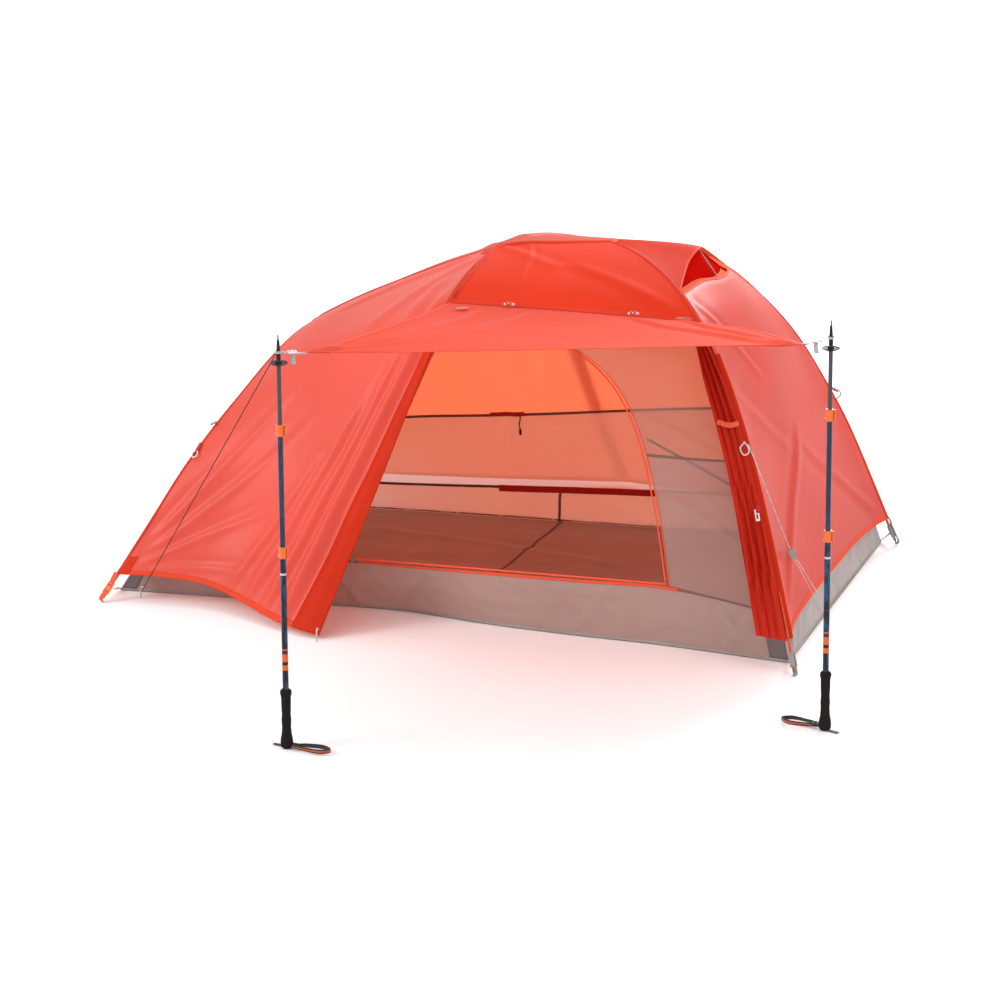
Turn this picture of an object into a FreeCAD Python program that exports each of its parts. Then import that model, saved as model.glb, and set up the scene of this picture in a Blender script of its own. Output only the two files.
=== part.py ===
import FreeCAD, Part
import Sketcher
import os, math

V = FreeCAD.Vector
doc = FreeCAD.newDocument("tent_on_poles")
sheet = doc.addObject("Spreadsheet::Sheet", "Dims")

# ---------------------------------------------------------------- driving dimensions (mm)
DIMS = [
 ("floor_length", 2240, "floor, head to foot"), ("head_width", 1320, "floor width, head end"),
 ("foot_width", 1070, "floor width, foot end"), ("bath_height", 165, "bathtub wall height at the doors"), ("bath_head", 146, "at the head end"), ("bath_foot", 112, "at the foot end"),
 ("fabric", 2, "fabric solid thickness"), ("inner_gap", 34, "pole centre to inner tent"),
 ("fly_gap", 12, "pole centre to outer face of the fly"),
 ("tube_r", 4.4, "frame tube outer radius"), ("tube_bore", 3.7, "frame tube inner radius"),
 ("shock_r", 1.3, "elastic cord radius"), ("ferrule_r", 5.2, "ferrule outer radius"), ("ferrule_len", 62, "ferrule length"),
 ("hub_r", 6.6, "hub sleeve radius"), ("hub_len", 34, "hub sleeve length"),
 ("pole_left_x", -85.3, "left trekking pole"), ("pole_left_y", -1804.9, ""),
 ("pole_right_x", 1360.9, "right trekking pole"), ("pole_right_y", -1223.9, ""),
 ("upper_r", 8.75, "upper shaft radius"), ("upper_bore", 7.9, ""), ("upper_bottom", 60, ""), ("upper_top", 588, ""),
 ("mid_r", 7.5, "middle shaft radius"), ("mid_bore", 6.65, ""), ("mid_bottom", 462, ""), ("mid_top", 946, ""),
 ("lower_r", 6.25, "lower shaft radius"), ("lower_bore", 5.4, ""), ("lower_bottom", 655, ""), ("lower_top", 1150, ""),
 ("collar_r", 11.4, "clamp collar radius"), ("collar_h", 34, ""), ("collar_low_z", 570, ""), ("collar_up_z", 929, ""),
 ("hinge_off", 14.6, "lever hinge from the pole axis"), ("barrel_r", 2.6, "hinge barrel radius"), ("pin_r", 1.15, "hinge pin radius"), ("lever_t", 3.2, "lever thickness"), ("lever_h", 26, ""), ("lever_angle", 128, "arc of the lever"),
 ("grip_r", 16, "grip radius"), ("grip_top", 178, "grip length"), ("grip_bore", 8.8, ""),
 ("basket_r", 26, "basket radius"), ("basket_z", 1146, ""), ("tip_top", 1222, "tip of the pole"),
 ("strap_w", 22, "wrist strap width"), ("strap_t", 2.2, ""),
 ("guy_r", 1.3, "guyline radius"), ("peg_r", 2.6, "peg wire radius"),
 ("zip_w", 6, "zip width"), ("zip_t", 3, "zip thickness"),
 ("slider_l", 13, ""), ("slider_w", 10, ""), ("slider_h", 9, ""), ("pull_l", 26, ""), ("pull_r", 2.2, ""),
 ("roll_r", 30, "rolled door radius"),
 ("buckle_l", 40, ""), ("buckle_w", 22, ""), ("buckle_t", 14, ""), ("buckle_bore", 5.4, ""),
 ("toggle_l", 34, ""), ("toggle_r", 4, ""),
]
# centre lines of the frame and the edges of the fabric, as tables of points
CURVES = {
 "ridge": [(-600,0,805),(-470,0,880),(-340,0,940),(-200,0,1000),(-100,0,1038),(0,0,1068),(170,0,1100),(360,0,1115)],
 "leghn": [(360,0,1115),(450,-75,1112),(540,-165,1098),(630,-262,1070),(712,-362,1030),(780,-435,975),(835,-480,898),
           (890,-515,790),(945,-548,655),(1000,-588,500),(1055,-640,335),(1108,-700,175),(1165,-776,8)],
 "leghf": [(360,0,1115),(445,75,1104),(525,165,1075),(600,258,1030),(682,350,960),(770,430,850),(858,490,725),
           (940,540,570),(1015,580,410),(1088,615,220),(1173,646,8)],
 "legfn": [(-600,0,805),(-655,-85,768),(-708,-175,706),(-768,-285,615),(-835,-385,515),(-905,-475,400),(-972,-548,275),
           (-1043,-607,155),(-1130,-666,8)],
 "brow": [(-15,-462,1000),(-9,-320,1041),(-3,-160,1068),(0,0,1080),(-3,160,1068),(-9,320,1041),(-15,462,1000)],
 "hemnear": [(-1086,-650,91),(-950,-637,91),(-796,-636,80),(-655,-690,55),(-500,-780,28),(-335,-842,14)],
 "hemfarl": [(-1086,650,91),(-900,696,84),(-640,820,55),(-300,960,28),(120,1085,14)],
 "hemfarr": [(120,1085,14),(500,940,40),(850,780,80),(1148,640,92)],
 "hemhead": [(1133,-705,95),(1118,-560,110),(1115,-300,118),(1118,0,118),(1120,300,112),(1128,500,100),(1148,640,92)],
 "hemfoot": [(-1086,-650,91),(-1102,-400,110),(-1108,0,120),(-1102,400,110),(-1086,650,91)],
 "flapedge": [(-15,-470,1008),(-75,-540,824),(-160,-640,556),(-245,-738,290),(-335,-842,14)],
 "zipfar": [(-15,470,1008),(20,625,740),(60,800,450),(90,940,225),(120,1085,14)],
 "seam": [(-15,-470,1008),(180,-482,1010),(390,-486,1010),(590,-480,1003),(790,-452,982)],
 "awnfront": [(-32,-1768,1163),(300,-1675,1166),(660,-1550,1168),(1010,-1360,1155),(1290,-1206,1141)],
 "awnleft": [(-15,-470,1008),(12,-800,1052),(14,-1120,1092),(4,-1450,1130),(-32,-1768,1163)],
 "awnright": [(790,-452,982),(900,-610,1030),(1020,-800,1072),(1150,-1000,1108),(1290,-1206,1141)],
 "gatherin": [(768,-470,955),(812,-535,840),(862,-590,720),(918,-635,560),(965,-680,400),(1003,-712,250),(1035,-730,105)],
 "doorzip": [(-30,-428,930),(110,-432,938),(260,-440,920),(390,-455,875),(490,-470,805),(560,-488,715),(610,-508,610),
             (650,-530,480),(685,-560,350),(718,-596,190)],
 "doorleft": [(-30,-428,930),(-110,-455,760),(-200,-490,540),(-290,-525,320),(-366,-553,172)],
 "threshold": [(-366,-553,172),(718,-596,190)],
 "floornear": [(-1120,-535,0),(-760,-512,0),(-417,-499,0),(-158,-496,0),(121,-548,0),(403,-580,0),(695,-600,0),(1120,-660,0)],
 "farmid": [(-25,424,955),(-60,480,640),(-85,540,360),(-100,575,165)],
 "guyleft": [(-93,-1795,1169),(-1018,-602,26)],
 "guyright": [(976,-618,668),(1078,-492,311)],
 "guyforka": [(1090,-473,273),(1135,-375,119)],
 "guyforkb": [(1092,-470,271),(1140,-345,119)],
}
row = 1
for alias, val, note in DIMS:
    sheet.set("A%d" % row, note or alias); sheet.set("B%d" % row, str(val)); sheet.setAlias("B%d" % row, alias); row += 1
for cname in CURVES:
    for i, p in enumerate(CURVES[cname]):
        for ax, c in zip("xyz", p):
            al = "%s_%s_%d" % (cname, ax, i)
            sheet.set("A%d" % row, al); sheet.set("B%d" % row, str(c)); sheet.setAlias("B%d" % row, al); row += 1
doc.recompute()

class Q:
    """A dimension: its value and the sheet expression that gives it."""
    def __init__(s, v, e): s.v = float(v); s.e = e
    def _o(s, o): return o if isinstance(o, Q) else Q(o, repr(float(o)))
    def __add__(s, o): o = s._o(o); return Q(s.v + o.v, "(%s + %s)" % (s.e, o.e))
    def __sub__(s, o): o = s._o(o); return Q(s.v - o.v, "(%s - %s)" % (s.e, o.e))
    def __mul__(s, o): o = s._o(o); return Q(s.v * o.v, "(%s * %s)" % (s.e, o.e))
    def __truediv__(s, o): o = s._o(o); return Q(s.v / o.v, "(%s / %s)" % (s.e, o.e))
    def __neg__(s): return Q(-s.v, "(0 - %s)" % s.e)
D = {a: Q(sheet.get(a), "Dims." + a) for a, _, _ in DIMS}
def val(a): return float(sheet.get(a))
def curve(n): return [V(*[float(sheet.get("%s_%s_%d" % (n, ax, i))) for ax in "xyz"]) for i in range(len(CURVES[n]))]

PARTS = []
def keep(obj, label):
    obj.Label = label; PARTS.append(obj); return obj
def put(obj, q):
    for ax, d in zip("xyz", q):
        if isinstance(d, Q):
            obj.setExpression("Placement.Base." + ax, d.e)
        else:
            setattr(obj.Placement.Base, ax, d)
    return obj
cnt = [0]
def nm(s): cnt[0] += 1; return "%s_%d" % (s, cnt[0])
def cyl(r, h, pos, angle=None):
    o = doc.addObject("Part::Cylinder", nm("Cyl")); o.setExpression("Radius", r.e); o.setExpression("Height", h.e)
    if angle is not None: o.setExpression("Angle", angle.e)
    return put(o, pos)
def cut(a, b):
    o = doc.addObject("Part::Cut", nm("Cut")); o.Base = a; o.Tool = b; return o
def tube(label, r, bore, z0, z1, x, y):
    return keep(cut(cyl(r, z1 - z0, (x, y, z0)), cyl(bore, z1 - z0 + 2, (x, y, z0 - 1))), label)
def group(label, objs):
    o = doc.addObject("Part::Compound", nm("Group")); o.Links = objs; return keep(o, label)
def revolve(profile, x, y, z):
    """Turned piece: closed profile of (radius, height) about the vertical axis."""
    body = doc.addObject("PartDesign::Body", nm("Body"))
    sk = body.newObject("Sketcher::SketchObject", nm("Sketch"))
    pl = [f for f in body.Origin.OriginFeatures if f.Role == "XZ_Plane"][0]
    sk.AttachmentSupport = [(pl, "")]; sk.MapMode = "FlatFace"
    n = len(profile)
    for i in range(n):
        a, b = profile[i], profile[(i + 1) % n]
        sk.addGeometry(Part.LineSegment(V(a[0].v, a[1].v, 0), V(b[0].v, b[1].v, 0)), False)
    for i in range(n):
        sk.addConstraint(Sketcher.Constraint("Coincident", i, 2, (i + 1) % n, 1))
    for i in range(n):
        for kind, q in (("DistanceX", profile[i][0]), ("DistanceY", profile[i][1])):
            if abs(q.v) < 1e-9:
                sk.addConstraint(Sketcher.Constraint("PointOnObject", i, 1, -2 if kind == "DistanceX" else -1))
            else:
                k = sk.addConstraint(Sketcher.Constraint(kind, -1, 1, i, 1, q.v))
                sk.renameConstraint(k, "%s%d" % ("px" if kind == "DistanceX" else "pz", i))
                sk.setExpression("Constraints.%s%d" % ("px" if kind == "DistanceX" else "pz", i), q.e)
    rv = body.newObject("PartDesign::Revolution", nm("Revolution"))
    rv.Profile = sk; rv.ReferenceAxis = (sk, ["V_Axis"]); rv.Angle = 360.0
    body.Tip = rv
    return put(body, (x, y, z))
def feature(label, shape, add=True):
    o = doc.addObject("Part::Feature", nm("Shape")); o.Shape = shape
    return keep(o, label) if add else o

# ---------------------------------------------------------------- tubes along a path
def arcs(pts, frac=0.45):
    """Straight runs joined by tangent arcs."""
    edges = []; last = pts[0]; radii = []
    for i in range(1, len(pts) - 1):
        a, p, b = pts[i-1], pts[i], pts[i+1]
        u = (a - p); w = (b - p); la, lb = u.Length, w.Length
        u.normalize(); w.normalize()
        turn = math.pi - u.getAngle(w)
        if turn < 0.004:
            continue
        cutl = frac * min(la, lb); radii.append(cutl / math.tan(turn / 2))
        s = p + u * cutl; e = p + w * cutl
        bis = (u + w); bis.normalize()
        R = radii[-1]; c = p + bis * math.sqrt(R * R + cutl * cutl)
        m = c - bis * R
        edges.append(Part.LineSegment(last, s).toShape())
        edges.append(Part.Arc(s, m, e).toShape()); last = e
    edges.append(Part.LineSegment(last, pts[-1]).toShape())
    return Part.Wire(edges), radii
def sweep(pts, r):
    wire, radii = arcs(pts)
    d = pts[1] - pts[0]
    c = Part.Wire([Part.Circle(pts[0], d, r).toShape()])
    s = wire.makePipeShell([c], True, False)
    if s.Volume < 0: s.reverse()
    return s, wire.Length, radii
def pole(label, pts, trim0, trim1, bore=True):
    d0 = (pts[1] - pts[0]).normalize(); d1 = (pts[-2] - pts[-1]).normalize()
    pts = [pts[0] + d0 * trim0] + pts[1:-1] + [pts[-1] + d1 * trim1]
    s, L, radii = sweep(pts, val("tube_r")); v = s.Volume
    if bore:
        t, L2, _ = sweep([pts[0] - d0 * 2] + pts[1:-1] + [pts[-1] - d1 * 2], val("tube_bore"))
        s = s.cut(t)
    print("%-20s length %.0f  volume ratio %.3f  least radius %.0f" % (label, L, v / (math.pi * val("tube_r") ** 2 * L), min(radii)))
    return feature(label, s), pts
RIDGE, LHN, LHF, LFN, BROW = curve("ridge"), curve("leghn"), curve("leghf"), curve("legfn"), curve("brow")
LFF = [V(p.x, -p.y, p.z) for p in LFN]
pole("ridge_pole", RIDGE, 12, 12)
pole("brow_pole", BROW, 8, 8)
pole("leg_pole_head_near", LHN, 12, 12)
pole("leg_pole_head_far", LHF, 12, 12)
pole("leg_pole_foot_near", LFN, 12, 12)
pole("leg_pole_foot_far", LFF, 12, 12)

# elastic cord inside each tube
cords = []
for pts in (RIDGE, BROW, LHN, LHF, LFN, LFF):
    d0 = (pts[1] - pts[0]).normalize(); d1 = (pts[-2] - pts[-1]).normalize()
    cords.append(sweep([pts[0] + d0 * 16] + pts[1:-1] + [pts[-1] + d1 * 16], val("shock_r"))[0])
feature("shock_cords", Part.makeCompound(cords))

def rod(p, d, r, L): return Part.makeCylinder(r, L, p, d)
def along(pts, dist):
    for a, b in zip(pts, pts[1:]):
        l = (b - a).Length
        if dist <= l: return a + (b - a) * (dist / l), (b - a).normalize()
        dist -= l
    return pts[-1], (pts[-1] - pts[-2]).normalize()

# three-way hubs with sleeves over the tube ends, and the swivel that joins brow and ridge poles
def hub(c, dirs):
    r, L = val("hub_r"), val("hub_len")
    s = Part.makeBox(20, 16, 14, c - V(10, 8, 7.5))
    for d in dirs: s = s.fuse(rod(c, d, r, L))
    for d in dirs: s = s.cut(rod(c + d * 9.5, d, val("tube_r") + 0.15, L))
    return s
hubs = [hub(RIDGE[0], [(RIDGE[1]-RIDGE[0]).normalize(), (LFN[1]-LFN[0]).normalize(), (LFF[1]-LFF[0]).normalize()]),
        hub(RIDGE[-1], [(RIDGE[-2]-RIDGE[-1]).normalize(), (LHN[1]-LHN[0]).normalize(), (LHF[1]-LHF[0]).normalize()])]
sw = Part.makeBox(16, 16, 22, V(-8, -8, 1062.5))
rdir = (RIDGE[6] - RIDGE[4]).normalize()
sw = sw.cut(rod(V(0, 0, 1066.8) - rdir * 30, rdir, val("tube_r") + 1.0, 60)).cut(rod(V(0, -30, 1077.3), V(0, 1, 0), val("tube_r") + 1.0, 60))
hubs.append(sw)

# ferrules over the section joints
fer = []
for pts, ds in ((RIDGE, (330, 660)), (LHN, (690, 940)), (LHF, (690, 940)), (LFN, (430,)), (LFF, (430,))):
    for dd in ds:
        best = None
        # the sleeve sits on the straight middle of the nearest run
        acc = 0
        for a, b in zip(pts, pts[1:]):
            l = (b - a).Length; mid = acc + l / 2; acc += l
            if best is None or abs(mid - dd) < best[0]: best = (abs(mid - dd), (a + b) * 0.5, (b - a).normalize(), l)
        L = min(val("ferrule_len") * 0.2, best[3] * 0.09)
        fer.append(rod(best[1] - best[2] * L / 2, best[2], val("ferrule_r"), L).cut(rod(best[1] - best[2] * L, best[2], val("tube_r") + 0.05, 2 * L)))
feature("frame_connectors", Part.makeCompound(hubs + fer))

# turned tips at the six free tube ends
tips = []
for pts in (LHN, LHF, LFN, LFF):
    d = (pts[-1] - pts[-2]).normalize()
    p = pts[-1] - d * 12
    t = rod(p - d * 14, d, val("tube_bore") - 0.1, 14).fuse(rod(p + d * 0.1, d, val("tube_r") + 0.4, 3)).fuse(rod(p, d, 2.6, 15)).fuse(Part.makeSphere(3.6, p + d * 15))
    tips.append(t.cut(rod(p - d * 15, d, 1.8, 12)))
for pts in (BROW, BROW[::-1]):
    d = (pts[0] - pts[1]).normalize(); p = pts[0] - d * 8
    t = rod(p - d * 14, d, val("tube_bore") - 0.1, 14).fuse(rod(p + d * 0.1, d, val("tube_r") + 0.3, 3)).fuse(rod(p, d, 2.6, 8))
    tips.append(t.cut(rod(p - d * 15, d, 1.8, 12)))
feature("pole_tips", Part.makeCompound(tips))

# ---------------------------------------------------------------- fabric panels
def cr(pts, tt):
    """Point on a smooth curve through pts, tt from 0 to 1 by chord length."""
    ls = [0.0]
    for a, b in zip(pts, pts[1:]): ls.append(ls[-1] + (b - a).Length)
    s = max(0.0, min(1.0, tt)) * ls[-1]; i = 0
    while i < len(pts) - 2 and s > ls[i+1]: i += 1
    h = ls[i+1] - ls[i]; x = (s - ls[i]) / h
    def tan(j):
        if j == 0: return (pts[1] - pts[0]) / (ls[1] - ls[0])
        if j == len(pts) - 1: return (pts[-1] - pts[-2]) / (ls[-1] - ls[-2])
        return (pts[j+1] - pts[j-1]) / (ls[j+1] - ls[j-1])
    m0, m1 = tan(i), tan(i+1)
    return pts[i] * (2*x**3 - 3*x**2 + 1) + m0 * (h * (x**3 - 2*x**2 + x)) + pts[i+1] * (-2*x**3 + 3*x**2) + m1 * (h * (x**3 - x**2))
def coons(top, bot, left, right, u, v, bulge=None):
    a, b, c, d = cr(top, 0), cr(top, 1), cr(bot, 0), cr(bot, 1)
    p = (cr(top, u) * (1 - v) + cr(bot, u) * v + cr(left, v) * (1 - u) + cr(right, v) * u
         - (a * ((1-u)*(1-v)) + b * (u*(1-v)) + c * ((1-u)*v) + d * (u*v)))
    if bulge: p = p + bulge * (16 * u * (1-u) * v * (1-v))
    return p
def outward(p, d):
    c = V(p.x * 0.45, 0, p.z * 0.35); n = (p - c).normalize(); return p + n * d
def off(pts, d): return [outward(p, d) for p in pts]
def sub(pts, t0, t1, n=7): return [cr(pts, t0 + (t1 - t0) * i / (n - 1)) for i in range(n)]
def panel(top, bot, left, right, nu, nv, t, bulge=None, eps=0.004, epsv=0.004, out=None):
    """A closed thin solid: the outer surface through a net of points, and one a thickness inside it."""
    us = [eps + (1 - 2*eps) * i / (nu - 1) for i in range(nu)]; vs = [epsv + (1 - 2*epsv) * j / (nv - 1) for j in range(nv)]
    def P(u, v): return coons(top, bot, left, right, u, v, bulge)
    A, B = [], []
    for u in us:
        ra, rb = [], []
        for v in vs:
            p = P(u, v); h = 0.004
            du = P(min(1, u + h), v) - P(max(0, u - h), v); dv = P(u, min(1, v + h)) - P(u, max(0, v - h))
            n = du.cross(dv); n.normalize()
            ra.append(p); rb.append(n)
        A.append(ra); B.append(rb)
    o = out if out else None
    mid = A[nu // 2][nv // 2]
    ref = o if o else (mid - V(mid.x * 0.45, 0, mid.z * 0.35))
    sgn = -1.0 if B[nu // 2][nv // 2].dot(ref) > 0 else 1.0
    B = [[A[i][j] + B[i][j] * (sgn * t) for j in range(nv)] for i in range(nu)]
    sa = Part.BSplineSurface(); sa.interpolate(A); sb = Part.BSplineSurface(); sb.interpolate(B)
    faces = [sa.toShape(), sb.toShape()]
    def iso(s, which):
        u0, u1, v0, v1 = s.bounds()
        return {"u0": lambda: s.uIso(u0), "u1": lambda: s.uIso(u1), "v0": lambda: s.vIso(v0), "v1": lambda: s.vIso(v1)}[which]().toShape()
    for w in ("u0", "u1", "v0", "v1"):
        faces.append(Part.makeRuledSurface(iso(sa, w), iso(sb, w)))
    sh = Part.Compound(faces); sh.sewShape(); shell = sh.Shells[0] if sh.Shells else Part.Shell(faces)
    sol = Part.Solid(shell)
    if sol.Volume < 0: sol.reverse()
    return sol
T = val("fabric"); FG = val("fly_gap"); IG = -val("inner_gap")
fr = off(RIDGE[:5], FG + 1) + [V(0, 0, 1092)]
fr2 = [V(0, 0, 1092), V(90, 0, 1108)] + off(RIDGE[6:], FG + 1)
fbn = [V(0, 0, 1092)] + [outward(BROW[2], FG + 2), outward(BROW[1], FG + 5)] + [V(-15, -470, 1008)]
fbf = [V(p.x, -p.y, p.z) for p in fbn]
fbfl = [fbf[0]] + [p + V(-1.5, 0, 2.5) for p in fbf[1:]]
flfn = off(LFN[:-1], FG + 4); flfn = flfn[:-1] + [curve("hemnear")[0]]
flff = [V(p.x, -p.y, p.z) for p in flfn]
flhn = off(LHN[:-2], FG) + [curve("hemhead")[0]]
flhf = off(LHF[:-1], FG)[:-1] + [curve("hemhead")[-1]]
seam = curve("seam")
feature("fly_side_near", panel(fr, curve("hemnear"), flfn, fbn[:-1] + curve("flapedge"), 9, 11, T))
feature("fly_far_left", panel(fr, curve("hemfarl"), flff, fbfl[:-1] + curve("zipfar"), 10, 10, T, eps=0.01, epsv=0.006))
feature("fly_far_right", panel(fr2, curve("hemfarr"), fbf[:-1] + curve("zipfar"), flhf, 9, 11, T, eps=0.006))
legtop = [p for p in flhn if p.x < 775] + [seam[-1]]
feature("fly_roof_near", panel(fr2, seam, fbn, legtop, 7, 7, T))
hoodn = sub(legtop, 0.06, 0.72); hoodf = sub(flhf, 0.035, 0.30)
lip = [cr(legtop, 0.735) + V(1, 1, -3), V(705, -130, 1050), V(722, 0, 1030), V(712, 130, 1015), cr(flhf, 0.305) + V(1, -1, -3)]
hn = [lip[0]] + [p for p in flhn if p.x > lip[0].x + 25]
hf = [lip[-1]] + [p for p in flhf if p.x > lip[-1].x + 25]
feature("fly_head_end", panel(lip, curve("hemhead"), hn, hf, 9, 9, T, bulge=V(-12, 0, -8), out=V(1, 0, 0.3)))
hoodfront = [hoodn[-1], V(668, -110, 1112), V(676, 0, 1136), V(668, 110, 1100), hoodf[-1]]
hoodback = [hoodn[0], V(hoodn[0].x + 4, 0, hoodn[0].z + 6), hoodf[0]]
feature("vent_hood", panel(hoodback, hoodfront, hoodn, hoodf, 9, 7, T, out=V(0.2, 0, 1)))
st0, st1 = V(721, 0, 1034), V(674, 0, 1129)
feature("vent_strut", rod(st0, (st1 - st0).normalize(), 2.4, (st1 - st0).Length))
feature("fly_foot_end", panel([cr(flfn, .04), cr(flfn, .04) * .5 + cr(flff, .04) * .5 + V(-3, 0, 2), cr(flff, .04)], curve("hemfoot"),
        sub(flfn, .04, 1, 9), sub(flff, .04, 1, 9), 9, 9, T, bulge=V(12, 0, -8), out=V(-1, 0, 0.4)))
feature("fly_awning", panel(seam, curve("awnfront"), curve("awnleft"), curve("awnright"), 9, 9, T, bulge=V(0, 0, -14), epsv=0.003, out=V(0, 0, 1)))
gout = [p + V(-2, -14 - 20 * (1 - p.z / 930), 0) for p in flhn if 780 < p.x] ; gout = [V(800, -478, 955)] + [p for p in gout if p.z < 930]
feature("fly_gathered_door", panel([curve("gatherin")[0], gout[0]], [curve("gatherin")[-1], gout[-1]], curve("gatherin"), gout, 4, 9, -16,
        out=V(0, -1, 0)))
# inner tent
ir = off(RIDGE[:5], IG) + [V(-14, 0, 1034)]
ir2 = [V(-14, 0, 1034)] + off(RIDGE[6:], IG)
dl = curve("doorleft"); dz = curve("doorzip"); th = curve("threshold"); fm = curve("farmid")
bh = val("bath_height")
hx, fx, hw, fw = val("floor_length")/2, val("floor_length")/2, val("head_width")/2, val("foot_width")/2
bhh, bhf = val("bath_head"), val("bath_foot")
ifn = off(LFN[:-2], IG) + [V(-fx + 62, -fw + 34, bhf)]
iff = [V(p.x, -p.y, p.z) for p in ifn]
ihn = off(LHN[:-2], IG) + [V(hx - 36, -hw + 30, bhh)]
ihf = off(LHF[:-2], IG) + [V(hx - 36, hw - 44, bhh)]
up = V(0, 0, 3)
feature("inner_side_near", panel(ir, [ifn[-1] + up, V(-700, -532, bh - 9), dl[-1] + up], ifn, [ir[-1], V(-18, -220, 1008), V(-26, -424, 958)] + dl[1:], 11, 11, T * 0.75, eps=0.006, epsv=0.006))
feature("inner_far_left", panel(ir, [iff[-1] + up, V(-600, 556, bh - 9), fm[-1] + up], iff, [ir[-1], V(-18, 220, 1008)] + fm, 9, 9, T * 0.75))
feature("inner_far_right", panel(ir2, [fm[-1] + up, V(500, 598, bh + 3), ihf[-1] + up], [ir[-1], V(-18, 220, 1008)] + fm, ihf, 9, 9, T * 0.75, eps=0.006))
itop = [V(-26, -424, 958), V(180, -432, 962), V(390, -434, 962), V(580, -425, 955), V(742, -402, 946)]
ileg = [p for p in ihn if p.x < 700] + [itop[-1]]
feature("inner_roof_near", panel(ir2, itop, [ir[-1], V(-18, -220, 1008), V(-26, -424, 958)], ileg, 7, 7, T * 0.75, eps=0.006))
zr = [itop[-1] + V(2, -2, -6)] + [p for p in ihn if p.z < 930]
feature("inner_side_near_right", panel([dz[0] + V(0, 0, 22), V(180, -434, 954), V(390, -438, 953), V(580, -428, 946), zr[0]],
        [th[-1] + V(5, 0, 4), zr[-1] + up], [dz[0] + V(0, 0, 22), V(110, -434, 946)] + [p + V(6, 0, 4) for p in dz[2:-1]] + [th[-1] + V(5, 0, 4)], zr, 9, 11, T * 0.75, eps=0.008))
feature("inner_head_end", panel([cr(ihn, .04) + V(3, 0, 0), cr(ihn, .04) * .5 + cr(ihf, .04) * .5 + V(4, 0, 0), cr(ihf, .04) + V(3, 0, 0)],
        [ihn[-1] + up, V(hx - 42, 0, bhh + 3), ihf[-1] + up], sub(ihn, .04, 1, 11), sub(ihf, .04, 1, 11), 9, 9, T * 0.75, bulge=V(-34, 0, -8), out=V(1, 0, 0.3), eps=0.006))
feature("inner_foot_end", panel([cr(ifn, .04), cr(ifn, .04) * .5 + cr(iff, .04) * .5, cr(iff, .04)],
        [ifn[-1] + up, V(-fx + 66, 0, bhf + 3), iff[-1] + up], sub(ifn, .04, 1, 9), sub(iff, .04, 1, 9), 9, 9, T * 0.75, bulge=V(34, 0, -8), out=V(-1, 0, 0.4), eps=0.006))

# floor sheet and the four bathtub walls
fn = curve("floornear")
outline = fn + [V(hx, hw, 0), V(340, 610, 0), V(-430, 585, 0), V(-fx, fw, 0)]
feature("floor_sheet", Part.Face(Part.makePolygon(outline + [outline[0]])).extrude(V(0, 0, T)))
z0 = V(0, 0, T + 1.5)
feature("bathtub_near", panel([ifn[-1], V(-700, -532, bh - 12), th[0], th[0] * .75 + th[1] * .25, th[0] * .5 + th[1] * .5, th[0] * .25 + th[1] * .75, th[1], ihn[-1]], [p + z0 for p in fn],
        [ifn[-1], fn[0] + z0], [ihn[-1], fn[-1] + z0], 13, 4, T, out=V(0, -1, 0), eps=0.003, epsv=0.0))
feature("bathtub_far", panel([iff[-1], V(-600, 556, bh - 12), fm[-1], V(500, 598, bh), ihf[-1]], [p + z0 for p in (V(-fx, fw, 0), V(-430, 585, 0), V(340, 610, 0), V(hx, hw, 0))],
        [iff[-1], V(-fx, fw, 0) + z0], [ihf[-1], V(hx, hw, 0) + z0], 9, 4, T, out=V(0, 1, 0), eps=0.003, epsv=0.0))
bend = [panel([ihn[-1], V(hx - 42, 0, bhh), ihf[-1]], [fn[-1] + z0, V(hx - 8, 0, 0) + z0, V(hx, hw, 0) + z0], [ihn[-1], fn[-1] + z0],
        [ihf[-1], V(hx, hw, 0) + z0], 7, 4, T, out=V(1, 0, 0), eps=0.003, epsv=0.0),
        panel([ifn[-1], V(-fx + 66, 0, bhf), iff[-1]], [fn[0] + z0, V(-fx + 6, 0, 0) + z0, V(-fx, fw, 0) + z0], [ifn[-1], fn[0] + z0],
        [iff[-1], V(-fx, fw, 0) + z0], 7, 4, T, out=V(-1, 0, 0), eps=0.003, epsv=0.0)]
feature("bathtub_ends", Part.makeCompound(bend))

# rolled near door, tied along the left edge of the doorway, inside it
rl = [V(p.x - 40, p.y + 56, p.z + (14 if i else -4)) for i, p in enumerate(dl)]; rl[0] = V(-92, -372, 880)
feature("inner_door_rolled", sweep(rl, val("roll_r"))[0])

# ---------------------------------------------------------------- zips and sliders
def strip(a, b, w, t, nrm):
    """A flat strip from a to b: width w across nrm, thickness t along nrm, centred on the line."""
    d = (b - a); L = d.Length; d.normalize(); n = (nrm - d * nrm.dot(d)).normalize(); s = n.cross(d)
    p = [a + s * (w/2) + n * (t/2), a - s * (w/2) + n * (t/2), a - s * (w/2) - n * (t/2), a + s * (w/2) - n * (t/2)]
    return Part.Face(Part.makePolygon(p + [p[0]])).extrude(d * L)
zw, zt = val("zip_w"), val("zip_t")
zips = [strip(th[0] + V(0, 0, 7.5), th[1] + V(-1, 0, 7.5), zw, zt, V(0, 1, 0))]
zc, _, _ = sweep([p + V(-4, -1, 2) for p in dz[1:-1]] + [th[1] + V(-5, -1, 14)], 2.0)
zips.append(zc)
zf = curve("zipfar"); zd = (zf[-1] - zf[0]).normalize(); zn = V(-0.15, 0.83, 0.53); zn = (zn - zd * zn.dot(zd)).normalize()
za, zb = zf[0] + zd * 40 + zn * 11, zf[-1] - zd * 20 + zn * 11
zips.append(strip(za, zb, zw, zt, zn))
feature("zip_tracks", Part.makeCompound(zips))
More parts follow.
